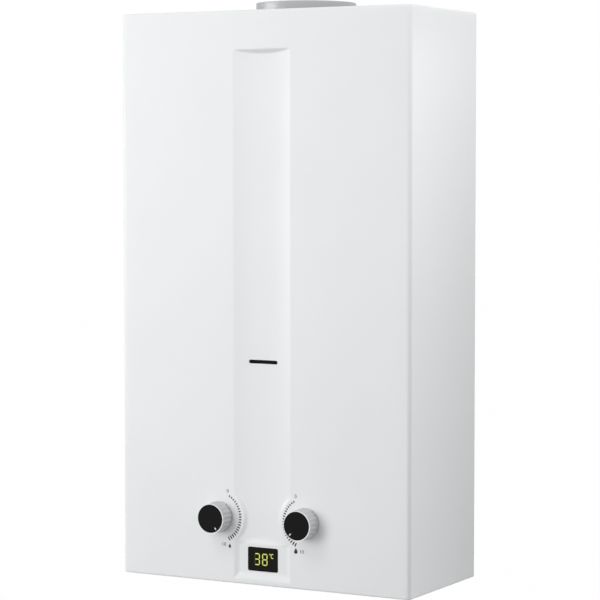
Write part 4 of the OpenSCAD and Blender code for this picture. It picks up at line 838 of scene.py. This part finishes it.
def display():
    """Dark window with a bevelled edge, its lit and unlit digit segments and the degree mark."""
    middle = np.array([0, LENS_Z])
    glass = rounded_rectangle(WINDOW_W - WINDOW_GAP, WINDOW_H - WINDOW_GAP, WINDOW_R) + middle
    rim = rounded_rectangle(WINDOW_W + WINDOW_FLANGE, WINDOW_H + WINDOW_FLANGE, WINDOW_R) + middle
    front_points, front_faces = slab(glass, LENS_FRONT + SHEET, LENS_FRONT)
    rim_points, rim_faces = slab(rim, LENS_BACK, LENS_FRONT + SHEET)
    faces = front_faces + [[i + len(front_points) for i in face] for face in rim_faces]
    piece = add_piece("display_window", np.concatenate([front_points, rim_points]), faces, black_acrylic,
                      "casing", ["display_lens"], WINDOW_CREASE_DEG)
    bevel = piece.modifiers.new("edge", "BEVEL")
    bevel.width = WINDOW_BEVEL * MM
    bevel.segments = 2
    bevel.limit_method = "ANGLE"
    lit, unlit = [], []
    for x, digit in zip(DIGIT_X, DIGITS):
        lit += digit_bars(x, DIGIT_LIT[digit])
        unlit += digit_bars(x, [name for name in SEGMENTS if name not in DIGIT_LIT[digit]])
    lit.append(ring_outline(radius=0.8, wall=0.45, start_deg=0, end_deg=350) + middle + DEGREE_PLACE)
    letter = ring_outline(radius=2.4, wall=0.8, start_deg=55, end_deg=305)
    lit.append(letter * UNIT_STRETCH + middle + UNIT_PLACE)
    groups = {"lit_segments": (lit, lit_segment), "unlit_segments": (unlit, unlit_segment)}
    for name, (outlines, finish) in groups.items():
        points, faces = slabs(outlines, LENS_FRONT + SEGMENT_SINK, LENS_FRONT - SEGMENT_T)
        add_piece(name, points, faces, finish, "casing")


def flue_collar():
    """Drawn collar turned round the flue's axis: flange, root bend, wall and rounded rim."""
    foot, top = collar_low[2], collar_high[2]
    flange = foot + COLLAR_WALL
    rim = np.linspace(0, math.pi, COLLAR_RIM_RINGS)
    rim_r = COLLAR_WALL / 2
    wall_z = np.linspace(foot + COLLAR_STRAIGHT, top - rim_r, COLLAR_WALL_RINGS)
    profile = [(COLLAR_R - COLLAR_WALL, foot), (COLLAR_FLANGE_R, foot), (COLLAR_FLANGE_R, flange),
               (COLLAR_R + COLLAR_ROOT, flange), (COLLAR_R, flange + COLLAR_ROOT)]
    profile += [(COLLAR_R, z) for z in wall_z]
    profile += list(zip(COLLAR_R - rim_r + rim_r * np.cos(rim), top - rim_r + rim_r * np.sin(rim)))
    profile.append((COLLAR_R - COLLAR_WALL, foot))
    points, faces = round_surface(*lathe(profile, COLLAR_COLUMNS), [0, COLLAR_Y, 0], UP_AXIS)
    add_piece("flue_collar_drawn", points, faces, aluminised_sheet, "casing",
              ["flue_collar"], COLLAR_CREASE_DEG)


def thread_radius(height):
    """Radius of a rounded thread: it dips once a pitch along a helix, and fades out at both ends."""
    turn = np.linspace(0, 1, STUB_COLUMNS, endpoint=False)[None, :]
    dip = 0.5 - 0.5 * np.cos(2 * math.pi * (height[:, None] / THREAD_PITCH - turn))
    end = np.clip(-height[:, None] / THREAD_PITCH, 0, 1)
    start = np.clip((STUB_L + height[:, None]) / THREAD_PITCH, 0, 1)
    crest = NECK_R + THREAD_PROUD - THREAD_DEPTH * (1 - start)
    return crest - THREAD_DEPTH * dip * end * start


def hexagon_radius():
    """Radius of a hexagon whose corners lie on the x axis and every sixth of a turn from it."""
    turn = np.linspace(0, 2 * math.pi, STUB_COLUMNS, endpoint=False)
    off_flat = turn % (math.pi / 3) - math.pi / 6
    return HEX_R * math.cos(math.pi / 6) / np.cos(off_flat)


def nipple(name):
    """Threaded stub, neck, chamfered hexagon and blind bore, round one upright axis."""
    low, high = box_mm(name)
    foot, top = -STUB_L, high[2]
    hex_foot = PLATE_TOP + HEX_LIFT[name]
    hex_top = hex_foot + HEX_H
    bore, bore_h = lathe([(0, top - BORE_STOP), (BORE_R, top - BORE_STOP), (BORE_R, foot + BORE_CHAMFER),
                          (BORE_R + BORE_CHAMFER, foot)], STUB_COLUMNS)
    thread_h = np.linspace(foot, 0, THREAD_RINGS)
    flange = HOT_FLANGE if name == "hot_nipple" else []
    neck, neck_h = lathe([(NECK_R, 0), *flange, (NECK_R, hex_foot)], STUB_COLUMNS)
    flats = hexagon_radius()
    chamfer = np.minimum(flats, HEX_CHAMFER_R)
    nut = [chamfer, flats, flats, chamfer]
    nut_h = [hex_foot, hex_foot + HEX_CHAMFER_H, hex_top - HEX_CHAMFER_H, hex_top]
    end, end_h = lathe([(NECK_R, hex_top), (NECK_R, top), (0, top)], STUB_COLUMNS)
    radius = np.concatenate([bore, thread_radius(thread_h), neck, nut, end])
    height = np.concatenate([bore_h, thread_h, neck_h, nut_h, end_h])
    points, faces = round_surface(radius, height, (low + high) / 2 * [1, 1, 0], UP_AXIS)
    add_piece(name + "_threaded", points, faces, machined_brass, "casing", [name])


def cover_screw(place):
    """Screw turned round its stem, with a pan head pressed upwards where either arm of a cross covers it."""
    rings = np.concatenate([np.linspace(*PLAIN_RINGS), np.linspace(*CROSS_RINGS)])
    turn = np.linspace(0, 2 * math.pi, SCREW_COLUMNS, endpoint=False)
    across = np.abs(rings[:, None] * np.cos(turn))
    along = np.abs(rings[:, None] * np.sin(turn))
    arm = np.maximum(np.minimum(CROSS_W / 2 - across, CROSS_L / 2 - along),
                     np.minimum(CROSS_W / 2 - along, CROSS_L / 2 - across))
    recess = np.clip(arm / CROSS_WALL, 0, 1) * CROSS_DEPTH
    stem, stem_h = lathe([(0, SCREW_L), (SCREW_R, SCREW_L), (SCREW_R, 0), (HEAD_R, 0),
                          (HEAD_R, HEAD_EDGE - HEAD_H),
                          (HEAD_R - HEAD_CHAMFER, HEAD_CHAMFER - HEAD_H)], SCREW_COLUMNS)
    points, faces = round_surface(np.concatenate([stem, np.repeat(rings[:, None], SCREW_COLUMNS, 1)]),
                                  np.concatenate([stem_h, 0 * rings - HEAD_H]), place, UP_AXIS)
    points[-recess.size:, 2] += recess.ravel()
    return points, faces


def cover_screws():
    """Four screws that hold the cover's lip to the bottom plate."""
    low, high = box_mm("cover_screws")
    places = [(x, y, 0) for x in (low[0] + HEAD_R, high[0] - HEAD_R)
              for y in (low[1] + HEAD_R, high[1] - HEAD_R)]
    screws = [cover_screw(np.array(place)) for place in places]
    step = len(screws[0][0])
    faces = np.concatenate([made + i * step for i, (_, made) in enumerate(screws)])
    add_piece("cover_screw_set", np.concatenate([made for made, _ in screws]), faces, zinc_plate, "casing",
              ["cover_screws"])


def battery_cells():
    """Two cells: a printed jacket crimped over bright steel ends, with the button upward."""
    low, high = box_mm("batteries")
    foot, top = low[2], high[2]
    profile = [(r, foot + h) for r, h in CELL_FOOT] + [(r, top - h) for r, h in CELL_HEAD]
    y = (low[1] + high[1]) / 2
    for name, x in (("left_cell", low[0] + CELL_R), ("right_cell", high[0] - CELL_R)):
        points, faces = round_surface(*lathe(profile), [x, y, 0], UP_AXIS)
        cell = add_piece(name, points, faces, cell_jacket, "casing",
                         ["batteries"] if name == "left_cell" else ())
        finish_faces(cell.data, zinc_plate, lambda middle: (
            (middle[:, 2] < foot + JACKET_FOOT) | (middle[:, 2] > top - JACKET_HEAD)))


def photo_camera():
    """Camera that stands and looks as the photograph's does, made the scene's own."""
    data = bpy.data.cameras.new("camera")
    data.lens = CAMERA_LENS
    data.sensor_width = CAMERA_SENSOR
    camera = bpy.data.objects.new("camera", data)
    camera.location = set_in_frame(CAMERA_PLACE)
    camera.rotation_euler = (math.pi / 2 - CAMERA_PITCH, 0, CAMERA_YAW)
    bpy.context.scene.collection.objects.link(camera)
    bpy.context.scene.camera = camera


def white_background(tree, ambient):
    """Strength that is 1 for camera, glossy and transmitted rays and ambient for the rest."""
    ray = add_node(tree, "ShaderNodeLightPath")
    seen = add_node(tree, "ShaderNodeMath",
                    {0: (ray, "Is Camera Ray"), 1: (ray, "Is Glossy Ray")}, operation="MAXIMUM")
    seen = add_node(tree, "ShaderNodeMath",
                    {0: (seen, "Value"), 1: (ray, "Is Transmission Ray")}, operation="MAXIMUM")
    return add_node(tree, "ShaderNodeMapRange", {"Value": (seen, "Value"), "To Min": ambient, "To Max": 1.0})


def floor_paint():
    """Matt white floor that reads as the white surround, takes a faint shadow and is clear from below."""
    material = bpy.data.materials.new("floor_paint")
    material.use_nodes = True
    tree = material.node_tree
    tree.nodes.clear()
    seen = white_background(tree, 0.0)
    share = add_node(tree, "ShaderNodeMath", {0: (seen, "Result"), 1: FLOOR_WHITE}, operation="MULTIPLY")
    matt = add_node(tree, "ShaderNodeBsdfPrincipled", {"Base Color": linear("#a0a0a0"), "Roughness": 0.9})
    glow = add_node(tree, "ShaderNodeEmission", {"Strength": 1.0})
    above = add_node(tree, "ShaderNodeMixShader",
                     {0: (share, "Value"), 1: (matt, "BSDF"), 2: (glow, "Emission")})
    face = add_node(tree, "ShaderNodeNewGeometry")
    clear = add_node(tree, "ShaderNodeBsdfTransparent")
    both = add_node(tree, "ShaderNodeMixShader",
                    {0: (face, "Backfacing"), 1: (above, "Shader"), 2: (clear, "BSDF")})
    add_node(tree, "ShaderNodeOutputMaterial", {"Surface": (both, "Shader")})
    return material


def lamp(name, place, aim, size, power, rays):
    """Soft lamp of a width and height that faces an aim. It lights surfaces, or shows only in their gloss."""
    data = bpy.data.lights.new(name, "AREA")
    data.shape = "RECTANGLE"
    data.size = size[0] * MM
    data.size_y = size[1] * MM
    data.energy = power
    lamp_object = bpy.data.objects.new(name, data)
    start, end = set_in_frame(place), set_in_frame(aim)
    lamp_object.location = start
    lamp_object.visible_diffuse = rays == "diffuse"
    lamp_object.visible_glossy = rays == "glossy"
    x, y, z = end - start
    lamp_object.rotation_euler = (math.atan2(math.hypot(x, y), -z), 0, math.atan2(-x, y))
    bpy.context.scene.collection.objects.link(lamp_object)


def studio():
    """Pale floor below the hung heater, a white surround and five soft lamps."""
    world = bpy.data.worlds.new("studio")
    world.use_nodes = True
    world.node_tree.nodes.clear()
    strength = white_background(world.node_tree, AMBIENT)
    sky = add_node(world.node_tree, "ShaderNodeBackground",
                   {"Color": (1, 1, 1, 1), "Strength": (strength, "Result")})
    add_node(world.node_tree, "ShaderNodeOutputWorld", {"Surface": (sky, "Background")})
    bpy.context.scene.world = world
    points = [(-FLOOR_HALF, -FLOOR_HALF, -FLOOR_DROP), (FLOOR_HALF, -FLOOR_HALF, -FLOOR_DROP),
              (FLOOR_HALF, FLOOR_HALF, -FLOOR_DROP), (-FLOOR_HALF, FLOOR_HALF, -FLOOR_DROP)]
    mesh = bpy.data.meshes.new("floor")
    mesh.from_pydata(set_in_frame(points).tolist(), [], [(0, 1, 2, 3)])
    floor = bpy.data.objects.new("floor", mesh)
    bpy.context.scene.collection.objects.link(floor)
    mesh.materials.append(floor_paint())
    lamp("key_lamp", place=(-750, -1700, 400), aim=(-30, -150, 300), size=(900, 900),
         power=13.0, rays="diffuse")
    lamp("high_lamp", place=(-600, -1300, 1500), aim=(0, -150, 400), size=(800, 800),
         power=6.8, rays="diffuse")
    lamp("side_lamp", place=(900, -160, 900), aim=(170, -130, 1000), size=(450, 450),
         power=4.4, rays="diffuse")
    lamp("strip_lamp", place=(-1600, -1000, 420), aim=(-30, -150, 300), size=(700, 700),
         power=8.0, rays="glossy")
    lamp("edge_lamp", place=(295, -20, 215), aim=(175, -20, 215), size=(300, 750),
         power=1.3, rays="glossy")


front_panel()
for knob in KNOB_SIDES:
    knob_skirt(knob)
    knob_cap(knob)
    dial_ticks(knob)
    panel_signs(knob)
display()
flue_collar()
for stub in HEX_LIFT:
    nipple(stub)
cover_screws()
battery_cells()
photo_camera()
studio()
bpy.context.scene.view_settings.view_transform = "Standard"
